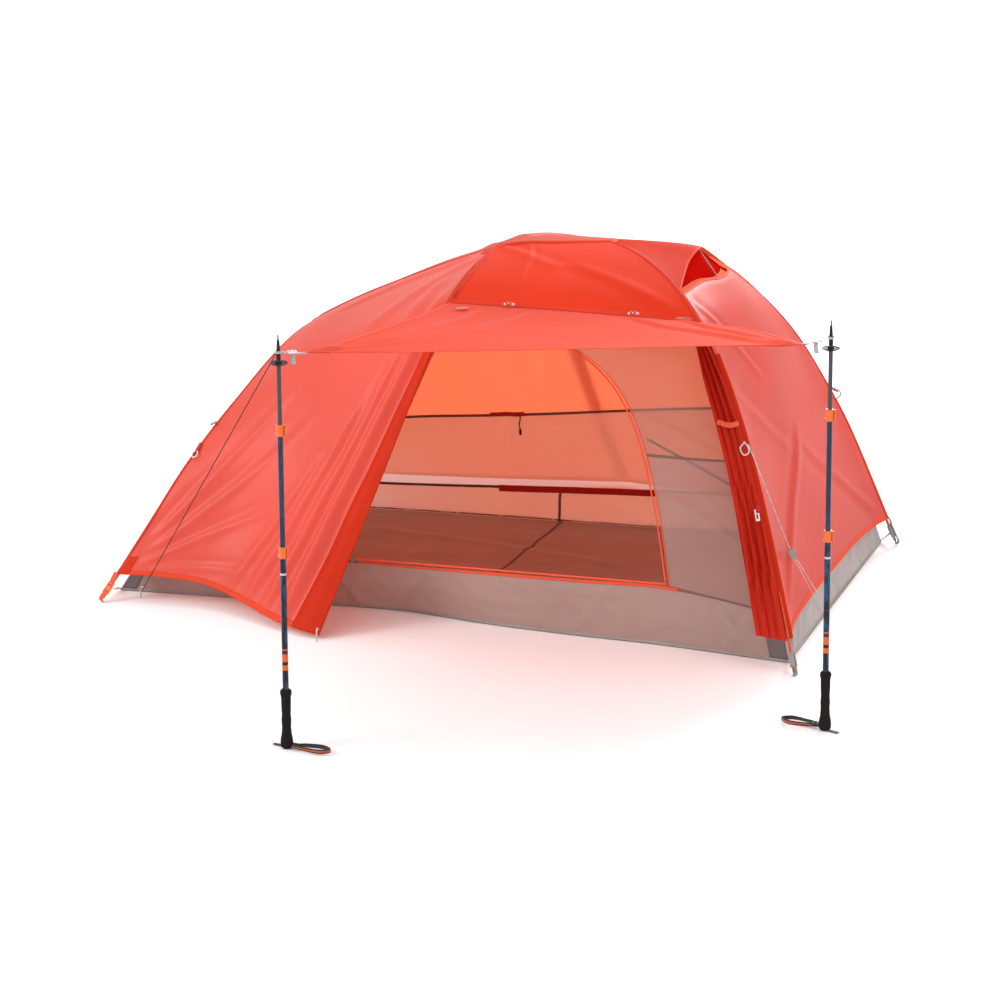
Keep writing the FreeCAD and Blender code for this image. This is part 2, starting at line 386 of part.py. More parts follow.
def slider(p, d, n, pull):
    """Slider straddling a track that runs along d: a block with a channel, and a pull tab on the n side."""
    L, W, Hh = val("slider_l"), val("slider_w"), val("slider_h")
    a = p - d * (L/2)
    blk = strip(a, p + d * (L/2), W + 4, Hh, n)
    ch = strip(a - d, p + d * (L/2 + 1), zw + 1.4, zt + 1.4, n)
    return blk.cut(ch).fuse(pull)
thd = (th[1] - th[0]).normalize()
sp = th[0] + V(0, 0, 7.5) + thd * 48
L, W = val("slider_l"), val("slider_w")
bl = strip(sp - thd * L/2 + V(0, 0, 2.5), sp + thd * L/2 + V(0, 0, 2.5), 12, 9, V(0, 1, 0))
bl = bl.cut(strip(sp - thd * 20 - V(0, 0, 5), sp + thd * 20 - V(0, 0, 5), 17.6, zt + 1.6, V(0, 1, 0)))
bl = bl.fuse(Part.makeTorus(6, 1.5, sp + V(0, -5.5, 3), V(0, 1, 0))).fuse(rod(sp + V(0, -5.6, -3.5), V(-0.1, -0.12, -1), val("pull_r"), val("pull_l")))
feature("zip_slider_door", bl)
fp = zb - zd * 26
fs = strip(fp - zd * L/2, fp + zd * L/2, 13, 9, zn).cut(strip(fp - zd * 20, fp + zd * 20, zw + 1.6, zt + 1.6, zn))
fs = fs.fuse(rod(fp + zn * 4, (zd * 0.9 + zn * 0.25), val("pull_r"), val("pull_l")))
feature("zip_slider_fly", fs)

# ---------------------------------------------------------------- corner hardware, straps, clips, toggles
def obox(c, d, n, l, w, t):
    a = c - d * (l/2); return strip(a, c + d * (l/2), w, t, n)
buck, web = [], []
for pts, fc, cc, side in ((LHN, curve("hemhead")[0], V(hx, -hw, 0), V(0, -1, 0.2)), (LHF, curve("hemhead")[-1], V(hx, hw, 0), V(1, 0.2, 0)),
                    (LFN, curve("hemnear")[0], V(-fx, -fw, 0), V(-0.4, -1, 0)), (LFF, curve("hemfarl")[0], V(-fx, fw, 0), V(-0.4, 1, 0))):
    d = (pts[-1] - pts[-2]).normalize(); c = pts[-1] - d * 42
    w_ = fc - c; n = (w_ - d * w_.dot(d)).normalize()
    b = obox(c, d, n, val("buckle_l"), val("buckle_w"), val("buckle_t"))
    b = b.cut(rod(c - d * 60, d, val("buckle_bore"), 120))
    buck.append(b)
    c0 = cc + V(0, 0, 12)
    v1 = (c0 - c); v1 = v1.normalize()
    inn = c + v1 * 17; outp = c0 - v1 * 8
    if (outp - inn).Length > 14: web.append(strip(inn, outp, 9, 1.2, V(0, 0, 1)))
    a2 = c - d * (val("buckle_l")/2 + 2) + n * 11; b2 = a2 + (fc - a2) * 0.86
    if (b2 - a2).Length > 14: web.append(strip(a2, b2, 11, 1.4, n))
feature("corner_buckles", Part.makeCompound(buck))
# awning straps: from each front corner of the awning to its pole, with a ladder adjuster
px = [V(val("pole_left_x"), val("pole_left_y"), 1150), V(val("pole_right_x"), val("pole_right_y"), 1150)]
for q, aw in ((px[0], curve("awnfront")[0]), (px[1], curve("awnfront")[-1])):
    dirv = (aw - V(q.x, q.y, aw.z)); dirv.normalize()
    a = V(q.x, q.y, 1172) + dirv * 10; b = aw + dirv * (-3) + V(0, 0, -1)
    b = aw - (aw - a).normalize() * 4
    if (b - a).Length > 14: web.append(strip(a, b, 15, 1.6, V(0, 0, 1)))
    web.append(Part.makeCylinder(9.5, 7, V(q.x, q.y, 1168.5)).cut(Part.makeCylinder(8.0, 9, V(q.x, q.y, 1167.5))))
feature("webbing_straps", Part.makeCompound(web))
clips = []
for pts, ds in ((RIDGE, (120, 300, 520, 760)), (LHN, (560, 800)), (LHF, (560, 800)), (LFN, (250, 500)), (LFF, (250, 500))):
    for dd in ds:
        p, d = along(pts, dd); o = outward(p, 1) - p; n = (o - d * o.dot(d)).normalize()
        k = rod(p - d * 5, d, val("tube_r") + 3.2, 10).cut(rod(p - d * 6, d, val("tube_r") + 1.7, 12))
        k = k.cut(obox(p + n * 7, d, n, 14, 16, 12)).fuse(obox(p - n * (10.2), d, n, 8, 7, 6.5))
        clips.append(k)
feature("pole_clips", Part.makeCompound(clips))
tg = []
for x in (160, 560):
    y, z = -499 if x < 300 else -494, 1000 if x < 300 else 996
    tg.append(Part.makeCylinder(val("toggle_r"), val("toggle_l"), V(x - val("toggle_l")/2, y, z), V(1, 0, 0)))
feature("door_toggles", Part.makeCompound(tg))

# ---------------------------------------------------------------- guylines, tensioner, pegs
gl = curve("guyleft"); s, L1, _ = (Part.Wire([Part.LineSegment(gl[0], gl[1]).toShape()]), (gl[1]-gl[0]).Length, 0)
feature("guyline_awning", rod(gl[0], (gl[1] - gl[0]).normalize(), val("guy_r"), L1))
gr, ga, gb = curve("guyright"), curve("guyforka"), curve("guyforkb")
feature("guyline_side", Part.makeCompound([rod(gr[0], (gr[1]-gr[0]).normalize(), val("guy_r"), (gr[1]-gr[0]).Length), rod(ga[0], (ga[1]-ga[0]).normalize(), val("guy_r")*0.8, (ga[1]-ga[0]).Length),
        rod(gb[0] + V(4, 2, 0), (gb[1]-gb[0]).normalize(), val("guy_r")*0.8, (gb[1]-gb[0]).Length)]))
lc = (gr[1] + ga[0]) * 0.5; ld = (ga[0] - gr[1]); Lk = ld.Length - 4; ld.normalize()
feature("line_tensioner", strip(lc - ld * (Lk/2), lc + ld * (Lk/2), 18, 6, V(0.4, -1, 0.3)))
pr = val("peg_r")
peg = []
for c, hd in ((gl[1] + (gl[1] - gl[0]).normalize() * 7, V(-1, 0.6, 0)), (V(-333, -856, 6), V(0, -1, 0))):
    hd.normalize(); b = V(c.x, c.y, 0) + hd * 0
    base = b + hd * 3.5
    hook = [base + V(0, 0, 0.2), base + V(0, 0, 34), base - hd * 10 + V(0, 0, 44), base - hd * 18 + V(0, 0, 36)]
    peg.append(sweep(hook, pr)[0])
feature("ground_pegs", Part.makeCompound(peg))

# ---------------------------------------------------------------- trekking poles
ups, cols, grips, straps = [], [], [], []
for tag, X, Y in (("left", D["pole_left_x"], D["pole_left_y"]), ("right", D["pole_right_x"], D["pole_right_y"])):
    z = D
    ups.append(cut(cyl(z["upper_r"], z["upper_top"] - z["upper_bottom"], (X, Y, z["upper_bottom"])), cyl(z["upper_bore"], z["upper_top"] - z["upper_bottom"] + 2, (X, Y, z["upper_bottom"] - 1))))
    tube("shaft_middle_" + tag, z["mid_r"], z["mid_bore"], z["mid_bottom"], z["mid_top"], X, Y)
    tube("shaft_lower_" + tag, z["lower_r"], z["lower_bore"], z["lower_bottom"], z["lower_top"], X, Y)
    zero_ = z["lower_r"] - z["lower_r"]
    # collars: the lower half grips the outer shaft, the upper half closes on the inner one
    def collar(rb, rs, zz):
        cr_, ch = z["collar_r"], z["collar_h"]
        prof = [(rb + 0.06, zz - zz), (cr_, zz - zz), (cr_, ch), (rs + 0.4, ch), (rs + 0.4, ch * 0.56), (rb + 0.06, ch * 0.56)]
        base = revolve(prof, X, Y, zz)
        ears = []
        for dz in (1.0, 30.4):
            e = doc.addObject("Part::Box", nm("Ear")); e.Length = 7.4; e.Width = 5.2; e.Height = 2.6
            ears.append(put(e, (X + 9.8, Y - 2.6, zz + dz)))
        ears.append(cyl(z["pin_r"], zero_ + 30.0, (X + z["hinge_off"], Y, zz + 2)))
        f = doc.addObject("Part::MultiFuse", nm("Fuse")); f.Shapes = [base] + ears
        return f
    cols.append(collar(z["upper_r"], z["mid_r"], z["collar_low_z"]))
    keep(collar(z["mid_r"], z["lower_r"], z["collar_up_z"]), "clamp_upper_" + tag)
    for nme, zz in (("lever_lower_" + tag, z["collar_low_z"]), ("lever_upper_" + tag, z["collar_up_z"])):
        lv = cut(cyl(z["collar_r"] + z["lever_t"] + 0.6, z["lever_h"], (X, Y, zz + 4), z["lever_angle"]),
                 cyl(z["collar_r"] + 0.6, z["lever_h"] + 2, (X, Y, zz + 3)))
        f = doc.addObject("Part::MultiFuse", nm("Fuse")); f.Shapes = [lv, cyl(z["barrel_r"], z["lever_h"], (X + z["hinge_off"], Y, zz + 4))]
        lv = cut(f, cyl(z["pin_r"] + 0.2, z["lever_h"] + 2, (X + z["hinge_off"], Y, zz + 3)))
        keep(lv, nme)
    c = z["basket_z"]; br = z["basket_r"]; lr = z["lower_r"]
    zero = lr - lr
    keep(revolve([(lr + 0.1, zero), (lr + 3.4, zero), (lr + 3.6, zero + 3), (br * 0.8, zero + 4), (br, zero + 7), (br, zero + 9), (br * 0.8, zero + 7.5),
                  (lr + 3.2, zero + 7.5), (lr + 2.4, zero + 13), (lr + 0.1, zero + 13)], X, Y, c - 13), "basket_" + tag)
    tl = z["tip_top"] - z["lower_top"]
    keep(revolve([(zero, zero), (lr * 0.98, zero), (lr * 1.06, zero + 8), (lr * 0.8, tl * 0.5), (lr * 0.62, tl * 0.76), (lr * 0.36, tl * 0.8), (lr * 0.3, tl - 0.6), (lr * 0.16, tl), (zero, tl)],
                 X, Y, z["lower_top"] + 0.1), "tip_" + tag)
    g = z["grip_r"]; h = z["grip_top"]; gb_ = z["grip_bore"]
    grips.append(revolve([(zero, zero), (g * 0.72, zero), (g * 1.06, zero + 6), (g * 1.16, zero + 16), (g * 1.08, zero + 30), (g * 0.9, zero + 44), (g * 0.82, zero + 66),
                          (g * 0.88, zero + 86), (g * 0.8, zero + 104), (g * 0.86, zero + 124), (g * 0.88, h - 24), (g * 1.06, h - 10), (g * 1.0, h - 4), (g * 0.78, h), (gb_ + 0.05, h), (gb_ + 0.05, zero + 59), (zero, zero + 59)], X, Y, zero))
group("shafts_upper", ups); group("clamps_lower", cols); group("grips", grips)
# wrist straps: a flat loop lying beside each grip
def loop(x, y, dirx, diry):
    w, t = val("strap_w"), val("strap_t")
    u = V(dirx, diry, 0).normalize(); n = V(-u.y, u.x, 0)
    base = V(x, y, 0) + u * 20
    pts = [base, base + u * 40 + n * 14, base + u * 92 + n * 20, base + u * 122 + n * 2, base + u * 100 - n * 20, base + u * 48 - n * 18, base + u * 8 - n * 12]
    w1, _ = arcs([p + V(0, 0, w/2 + 0.3) for p in pts])
    d = (pts[1] - pts[0]).normalize(); s = d.cross(V(0, 0, 1))
    q = pts[0] + V(0, 0, 0.3)
    prof = Part.makePolygon([q + s * (t/2), q - s * (t/2), q - s * (t/2) + V(0, 0, w), q + s * (t/2) + V(0, 0, w), q + s * (t/2)])
    sh = w1.makePipeShell([prof], True, False)
    if sh.Volume < 0: sh.reverse()
    return sh
feature("wrist_straps", Part.makeCompound([loop(val("pole_left_x"), val("pole_left_y"), 1, -0.15), loop(val("pole_right_x"), val("pole_right_y"), -1, 0.25)]))

# ---------------------------------------------------------------- checks and export
doc.recompute()
bad = []
for o in doc.Objects:
    if "Invalid" in o.State or "Error" in o.State: bad.append((o.Name, o.State))
for o in PARTS:
    if o.Shape.isNull() or not o.Shape.isValid(): bad.append((o.Label, "null" if o.Shape.isNull() else "shape not valid"))
    elif len(o.Shape.Solids) < 1: bad.append((o.Label, "no solid"))
if bad:
    for b in bad: print("FAILED", b)
    raise SystemExit(1)
os.makedirs("parts", exist_ok=True)
for o in PARTS:
    o.Shape.exportStep("parts/%s.step" % o.Label)
print(len(PARTS), "parts written")
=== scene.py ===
import math

import bpy
import numpy as np
from mathutils import Matrix, Vector


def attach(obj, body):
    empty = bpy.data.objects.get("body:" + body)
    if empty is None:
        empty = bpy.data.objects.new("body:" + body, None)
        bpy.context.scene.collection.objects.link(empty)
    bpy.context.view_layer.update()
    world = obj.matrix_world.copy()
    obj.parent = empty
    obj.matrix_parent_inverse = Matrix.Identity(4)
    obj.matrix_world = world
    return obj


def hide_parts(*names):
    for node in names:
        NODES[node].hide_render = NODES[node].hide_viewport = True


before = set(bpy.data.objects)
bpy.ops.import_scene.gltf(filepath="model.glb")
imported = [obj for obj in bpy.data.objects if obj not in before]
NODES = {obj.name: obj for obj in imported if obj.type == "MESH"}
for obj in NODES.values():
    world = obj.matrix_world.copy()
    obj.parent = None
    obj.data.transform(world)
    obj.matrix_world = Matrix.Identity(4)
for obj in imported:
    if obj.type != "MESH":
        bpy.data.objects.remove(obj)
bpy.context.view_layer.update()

scene = bpy.context.scene
coll = scene.collection

# ---------------------------------------------------------------- camera
yaw, pitch, roll = -0.30311, 0.28341, -0.00694
fwd = Vector((math.sin(yaw) * math.cos(pitch), math.cos(yaw) * math.cos(pitch), -math.sin(pitch)))
right = Vector((math.cos(yaw), -math.sin(yaw), 0))
up = right.cross(fwd)
r2 = right * math.cos(roll) + up * math.sin(roll)
u2 = -right * math.sin(roll) + up * math.cos(roll)
cam_data = bpy.data.cameras.new("camera")
cam_data.lens, cam_data.sensor_width = 149.58, 36.0
cam_data.clip_start, cam_data.clip_end = 0.1, 200
cam = bpy.data.objects.new("camera", cam_data)
coll.objects.link(cam)
cam.matrix_world = Matrix(((r2.x, u2.x, -fwd.x, 3.86375), (r2.y, u2.y, -fwd.y, -12.36659), (r2.z, u2.z, -fwd.z, 4.01606), (0, 0, 0, 1)))
scene.camera = cam
scene.view_settings.view_transform = "Standard"

# ---------------------------------------------------------------- materials
def mk(name):
    m = bpy.data.materials.new(name)
    m.use_nodes = True
    t = m.node_tree
    for n in list(t.nodes):
        t.nodes.remove(n)
    def nd(kind, ins=None, **props):
        n = t.nodes.new(kind)
        for k, v in props.items():
            setattr(n, k, v)
        for k, v in (ins or {}).items():
            s = n.inputs[k]
            if isinstance(v, bpy.types.NodeSocket):
                t.links.new(v, s)
            else:
                s.default_value = v
        return n
    return m, nd

def mixc(nd, fac, a, b, kind="MIX"):
    n = nd("ShaderNodeMix", data_type="RGBA", blend_type=kind)
    for i, v in ((0, fac), (6, a), (7, b)):
        if isinstance(v, bpy.types.NodeSocket):
            n.id_data.links.new(v, n.inputs[i])
        else:
            n.inputs[i].default_value = v
    return n.outputs[2]

def c4(c):
    return (c[0], c[1], c[2], 1.0)

def math_(nd, op, a, b=0.0, c=0.0):
    return nd("ShaderNodeMath", {0: a, 1: b, 2: c}, operation=op).outputs[0]

def fabric(name, col, back, trans=0.35, rough=0.42, spec=0.4, sheen=0.15, pitch_m=0.0055, rib=0.5, crumple=0.5, vary=0.06, clear=0.0,
           clear_tint=None, coat=0.0):
    """Woven sheet: ripstop grid, fine weave, soft crumple, light passing through it."""
    m, nd = mk(name)
    uv = nd("ShaderNodeUVMap").outputs[0]
    obj = nd("ShaderNodeTexCoord").outputs["Object"]
    s = 0.314159 / pitch_m
    wx = nd("ShaderNodeTexWave", {0: uv, 1: s, 2: 0.0}, bands_direction="X").outputs[1]
    wy = nd("ShaderNodeTexWave", {0: uv, 1: s, 2: 0.0}, bands_direction="Y").outputs[1]
    gx = math_(nd, "POWER", wx, 10.0)
    gy = math_(nd, "POWER", wy, 10.0)
    grid = math_(nd, "MAXIMUM", gx, gy)
    big = nd("ShaderNodeTexNoise", {"Vector": obj, "Scale": 2.4, "Detail": 4.0, "Roughness": 0.55}).outputs[0]
    cru = nd("ShaderNodeTexNoise", {"Vector": obj, "Scale": 26.0, "Detail": 5.0, "Roughness": 0.6, "Distortion": 0.6}).outputs[0]
    fine = nd("ShaderNodeTexNoise", {"Vector": uv, "Scale": 900.0, "Detail": 2.0}).outputs[0]
    dk = tuple(x * (1 - 1.6 * vary) for x in col)
    lt = tuple(min(1, x * (1 + vary) + 0.004) for x in col)
    base = mixc(nd, nd("ShaderNodeMapRange", {0: big, 1: 0.3, 2: 0.7, 3: 0.0, 4: 1.0}).outputs[0], c4(dk), c4(lt))
    base = mixc(nd, math_(nd, "MULTIPLY", grid, 0.10 * rib), base, c4(tuple(x * 0.72 for x in col)))
    h = math_(nd, "MULTIPLY_ADD", grid, 0.10 * rib, math_(nd, "MULTIPLY", fine, 0.05))
    b1 = nd("ShaderNodeBump", {"Strength": 0.35, "Distance": 0.0008, "Height": h}).outputs[0]
    b2 = nd("ShaderNodeBump", {"Strength": crumple, "Distance": 0.0016, "Height": cru, "Normal": b1}).outputs[0]
    rgh = math_(nd, "MULTIPLY_ADD", big, 0.16, rough - 0.08)
    p = nd("ShaderNodeBsdfPrincipled", {"Base Color": base, "Roughness": rgh, "Specular IOR Level": spec, "Sheen Weight": sheen,
                                        "Sheen Roughness": 0.4, "Normal": b2})
    tr = nd("ShaderNodeBsdfTranslucent", {0: mixc(nd, 0.12, c4(back), base), 1: b2})
    out = nd("ShaderNodeMixShader", {0: trans, 1: p.outputs[0], 2: tr.outputs[0]}).outputs[0]
    if clear > 0:
        tp = nd("ShaderNodeBsdfTransparent", {0: c4(clear_tint or (1, 1, 1))})
        out = nd("ShaderNodeMixShader", {0: clear, 1: out, 2: tp.outputs[0]}).outputs[0]
    nd("ShaderNodeOutputMaterial", {0: out})
    return m

def webbing(name, col, pitch_m=0.002, rough=0.7, edge=0.8):
    m, nd = mk(name)
    uv = nd("ShaderNodeUVMap").outputs[0]
    obj = nd("ShaderNodeTexCoord").outputs["Object"]
    wv = nd("ShaderNodeTexWave", {0: obj, 1: 0.2221 / pitch_m, 2: 0.4}, bands_direction="DIAGONAL").outputs[1]
    nz = nd("ShaderNodeTexNoise", {"Vector": obj, "Scale": 180.0, "Detail": 4.0}).outputs[0]
    base = mixc(nd, wv, c4(tuple(x * edge for x in col)), c4(col))
    base = mixc(nd, math_(nd, "MULTIPLY", nz, 0.35), base, c4(tuple(x * 0.6 for x in col)))
    b = nd("ShaderNodeBump", {"Strength": 0.6, "Distance": 0.0006, "Height": wv}).outputs[0]
    p = nd("ShaderNodeBsdfPrincipled", {"Base Color": base, "Roughness": rough, "Specular IOR Level": 0.25, "Sheen Weight": 0.3, "Normal": b})
    nd("ShaderNodeOutputMaterial", {0: p.outputs[0]})
    return m

def hard(name, col, rough=0.4, metallic=0.0, spec=0.5, scratch=0.3, grain=260.0, coat=0.0, col2=None, band=None, stretch=None, bump=0.15):
    """Moulded plastic, painted or anodised metal, foam: a grained surface with wear on it."""
    m, nd = mk(name)
    obj = nd("ShaderNodeTexCoord").outputs["Object"]
    vec = obj
    if stretch:
        vec = nd("ShaderNodeMapping", {0: obj, 3: stretch}).outputs[0]
    nz = nd("ShaderNodeTexNoise", {"Vector": vec, "Scale": grain, "Detail": 5.0, "Roughness": 0.65}).outputs[0]
    lg = nd("ShaderNodeTexNoise", {"Vector": obj, "Scale": 14.0, "Detail": 3.0}).outputs[0]
    wear = nd("ShaderNodeMapRange", {0: nz, 1: 0.56, 2: 0.78, 3: 0.0, 4: scratch}).outputs[0]
    base = mixc(nd, lg, c4(tuple(x * 0.86 for x in col)), c4(tuple(min(1, x * 1.1) for x in col)))
    base = mixc(nd, wear, base, c4(col2 or tuple(min(1, x * 1.5 + 0.03) for x in col)))
    if band:
        for z0, z1, bc in band:
            z = nd("ShaderNodeSeparateXYZ", {0: obj}).outputs[2]
            a = nd("ShaderNodeMapRange", {0: z, 1: z0, 2: z0 + 0.0008, 3: 0.0, 4: 1.0}).outputs[0]
            b_ = nd("ShaderNodeMapRange", {0: z, 1: z1 - 0.0008, 2: z1, 3: 1.0, 4: 0.0}).outputs[0]
            base = mixc(nd, math_(nd, "MULTIPLY", a, b_), base, c4(bc))
    rgh = nd("ShaderNodeMapRange", {0: nz, 1: 0.25, 2: 0.75, 3: max(0.04, rough - 0.1), 4: min(1, rough + 0.12)}).outputs[0]
    b = nd("ShaderNodeBump", {"Strength": bump, "Distance": 0.0004, "Height": nz}).outputs[0]
    p = nd("ShaderNodeBsdfPrincipled", {"Base Color": base, "Roughness": rgh, "Metallic": metallic, "Specular IOR Level": spec, "Coat Weight": coat, "Normal": b})
    nd("ShaderNodeOutputMaterial", {0: p.outputs[0]})
    return m

def braid(name, col, col2, pitch_m=0.004):
    m, nd = mk(name)
    obj = nd("ShaderNodeTexCoord").outputs["Object"]
    wv = nd("ShaderNodeTexWave", {0: obj, 1: 0.2221 / pitch_m, 2: 1.2, 3: 2.0}, bands_direction="DIAGONAL").outputs[1]
    base = mixc(nd, wv, c4(col), c4(col2))
    b = nd("ShaderNodeBump", {"Strength": 0.7, "Distance": 0.0004, "Height": wv}).outputs[0]
    p = nd("ShaderNodeBsdfPrincipled", {"Base Color": base, "Roughness": 0.75, "Specular IOR Level": 0.15, "Sheen Weight": 0.0, "Normal": b})
    nd("ShaderNodeOutputMaterial", {0: p.outputs[0]})
    return m

M = {}
M["fly"] = fabric("fly_ripstop", (0.80, 0.092, 0.060), (1.0, 0.17, 0.05), trans=0.30, rough=0.42, spec=0.45, sheen=0.05)
# painted light: the far fly panels get a brighter, more see-through copy of the fly fabric, standing for the light
# glowing through them
M["fly_far"] = fabric("fly_ripstop_far_painted_light", (0.84, 0.10, 0.05), (1.0, 0.22, 0.09), trans=0.55, rough=0.42, spec=0.4, sheen=0.0)
# painted shade: the awning and vent hood get a darker copy of the fly fabric, toning down the light that falls on them
# from above
M["fly_awn"] = fabric("fly_ripstop_awning_painted_shade", (0.64, 0.048, 0.026), (1.0, 0.14, 0.045), trans=0.26, rough=0.6, spec=0.05, sheen=0.0)
# painted shade: the head end gets a darker copy of the fly fabric, for the shade on it
M["fly_head"] = fabric("fly_ripstop_head_painted_shade", (0.66, 0.048, 0.026), (1.0, 0.14, 0.045), trans=0.27, rough=0.42, spec=0.24, sheen=0.0)
# painted shade: the vent screen is a deep red sheet with no gloss, standing for the shaded opening under the hood
M["vent_mesh_painted_shade"] = fabric("vent_mesh_painted_shade", (0.60, 0.006, 0.001), (1.0, 0.02, 0.002), trans=0.5, rough=0.9, spec=0.0, sheen=0.0, pitch_m=0.0024, rib=1.0)
# painted shade: a darker copy of the fly fabric for the storm flap turned in behind the zip and for the head end's edge
# strip, for the shade inside the fold
M["fly_flap"] = fabric("fly_ripstop_flap_painted_shade", (0.62, 0.028, 0.004), (0.9, 0.08, 0.01), trans=0.18, rough=0.55, spec=0.12, sheen=0.0)
# painted shade: a darker, deeper copy of the fly fabric for the near roof panel, for the lower light on it
M["fly_deep"] = fabric("fly_ripstop_roof_painted_shade", (0.74, 0.038, 0.008), (1.0, 0.10, 0.015), trans=0.24, rough=0.6, spec=0.10, sheen=0.0)
# painted shade: a darker copy of the fly fabric for the gathered door, for the shade in its deep pleats
M["fly_door"] = fabric("fly_ripstop_door_painted_shade", (0.50, 0.020, 0.006), (0.9, 0.06, 0.015), trans=0.17, rough=0.55, spec=0.14, sheen=0.0)
M["fly_tape"] = fabric("fly_seam_tape", (0.66, 0.040, 0.014), (0.8, 0.08, 0.02), trans=0.12, rough=0.6, spec=0.08, sheen=0.0, pitch_m=0.0025)
M["hem"] = fabric("fly_hem", (0.80, 0.070, 0.026), (0.9, 0.12, 0.04), trans=0.15, rough=0.6, spec=0.10, sheen=0.0, pitch_m=0.0025)
# painted light: a brighter copy of the inner mesh for the far walls, for the outside light coming in under the fly
M["mesh_far_painted_light"] = fabric("inner_mesh_far", (0.86, 0.62, 0.50), (1.0, 0.86, 0.74), trans=0.55, rough=0.8, spec=0.05, sheen=0.0, clear=0.66, pitch_m=0.0022, rib=1.0)
# painted light: a cold, whiter copy of the inner ripstop for the far walls, for the white outside light coming in under
# the fly
M["solid_far_painted_light"] = fabric("inner_ripstop_far_painted_light", (0.68, 0.74, 0.74), (0.86, 0.95, 0.95), trans=0.52, rough=0.55, spec=0.15, clear=0.16)
# painted light: a cold, near-white copy of the bathtub fabric for the far wall, for the white outside light falling on
# it under the fly
M["grey_far"] = fabric("bathtub_ripstop_far_painted_light", (0.84, 1.0, 1.0), (0.86, 1.0, 1.0), trans=0.56, rough=0.5, spec=0.25)
# painted light: a warmer copy of the bathtub fabric for the near wall, for the orange light through the fly falling on
# it
M["bath_near"] = fabric("bathtub_ripstop_near_painted_warm_light", (0.40, 0.305, 0.27), (0.68, 0.48, 0.40), trans=0.22, rough=0.5, spec=0.25)
M["mesh"] = fabric("inner_mesh", (0.62, 0.50, 0.44), (0.9, 0.75, 0.65), trans=0.5, rough=0.8, spec=0.1, sheen=0.0, clear=0.62, pitch_m=0.0022, rib=1.0)
M["solid"] = fabric("inner_ripstop", (0.60, 0.55, 0.52), (0.85, 0.74, 0.68), trans=0.42, rough=0.55, spec=0.25, clear=0.10)
M["grey"] = fabric("bathtub_ripstop", (0.42, 0.385, 0.37), (0.62, 0.54, 0.50), trans=0.22, rough=0.5, spec=0.35)
# painted shade: a darker, warmer copy of the inner mesh for the wall by the door, for the shade under the fly there
M["mesh_near_painted_shade"] = fabric("inner_mesh_near", (0.50, 0.36, 0.30), (0.75, 0.50, 0.40), trans=0.45, rough=0.8, spec=0.1, sheen=0.0, clear=0.42, pitch_m=0.0022, rib=1.0)
# painted shade: a darker, warmer copy of the inner ripstop for the wall by the door, for the shade under the fly there
M["solid_near_painted_shade"] = fabric("inner_ripstop_near_painted_shade", (0.42, 0.34, 0.31), (0.66, 0.48, 0.42), trans=0.40, rough=0.55, spec=0.2, clear=0.18)
# painted shade: a darker copy of the inner ripstop for the rolled-up door, for the shade in the doorway
M["solid_roll"] = fabric("inner_ripstop_roll_painted_shade", (0.52, 0.46, 0.43), (0.7, 0.6, 0.55), trans=0.25, rough=0.55, spec=0.2)
M["grey_tape"] = fabric("grey_tape", (0.34, 0.31, 0.30), (0.5, 0.45, 0.42), trans=0.1, rough=0.5, spec=0.3, pitch_m=0.002)
M["zip_tape"] = fabric("zip_tape", (0.80, 0.085, 0.028), (0.8, 0.1, 0.03), trans=0.1, rough=0.55, spec=0.3, pitch_m=0.002)
M["floor"] = fabric("floor_coated", (0.36, 0.30, 0.27), (0.5, 0.42, 0.38), trans=0.06, rough=0.38, spec=0.45, crumple=0.8)
M["red_tape"] = fabric("red_binding", (0.50, 0.010, 0.006), (0.6, 0.02, 0.01), trans=0.08, rough=0.6, spec=0.2, pitch_m=0.002)
M["seam_dark"] = fabric("dark_binding", (0.20, 0.115, 0.090), (0.2, 0.12, 0.1), trans=0.05, rough=0.6, spec=0.2, pitch_m=0.002)
M["orange_web"] = webbing("orange_webbing", (0.78, 0.10, 0.035))
M["grey_web"] = webbing("grey_webbing", (0.46, 0.44, 0.44))
M["dark_web"] = webbing("dark_webbing", (0.030, 0.028, 0.032))
M["white_web"] = webbing("white_webbing", (0.72, 0.70, 0.69))
M["cord_dark"] = braid("guyline_dark", (0.010, 0.007, 0.007), (0.030, 0.016, 0.014))
M["cord_light"] = braid("guyline_light", (0.46, 0.42, 0.42), (0.66, 0.62, 0.60))
M["plastic_grey"] = hard("moulded_grey", (0.26, 0.25, 0.255), rough=0.42)
M["plastic_white"] = hard("moulded_white", (0.74, 0.73, 0.72), rough=0.38)
M["tube"] = hard("anodised_tube", (0.55, 0.075, 0.025), rough=0.30, metallic=0.7, grain=120.0, stretch=(1, 1, 0.05))
M["fitting"] = hard("frame_fitting", (0.10, 0.10, 0.105), rough=0.4)
M["red_web"] = webbing("red_webbing", (0.50, 0.014, 0.008))
M["orange_line"] = webbing("orange_lining", (0.62, 0.10, 0.012))
M["dark_tape"] = webbing("dark_tape", (0.10, 0.07, 0.065))
M["patch"] = fabric("corner_patch", (0.145, 0.12, 0.12), (0.15, 0.12, 0.12), trans=0.05, rough=0.55, spec=0.3, pitch_m=0.002)
M["lever"] = hard("lever_orange", (0.66, 0.095, 0.003), rough=0.28, coat=0.3)
M["shaft_mid"] = hard("shaft_middle", (0.006, 0.026, 0.055), rough=0.34, metallic=0.0, coat=0.0, spec=0.3, col2=(0.01, 0.15, 0.30), grain=150.0, stretch=(1, 1, 0.12), scratch=0.9)
M["steel"] = hard("steel", (0.52, 0.53, 0.54), rough=0.28, metallic=1.0)
M["elastic"] = braid("elastic", (0.6, 0.6, 0.6), (0.1, 0.1, 0.1))
M["zip"] = hard("zip_teeth", (0.82, 0.085, 0.03), rough=0.4, grain=500.0)
M["black"] = hard("black_plastic", (0.012, 0.011, 0.013), rough=0.5, spec=0.25)
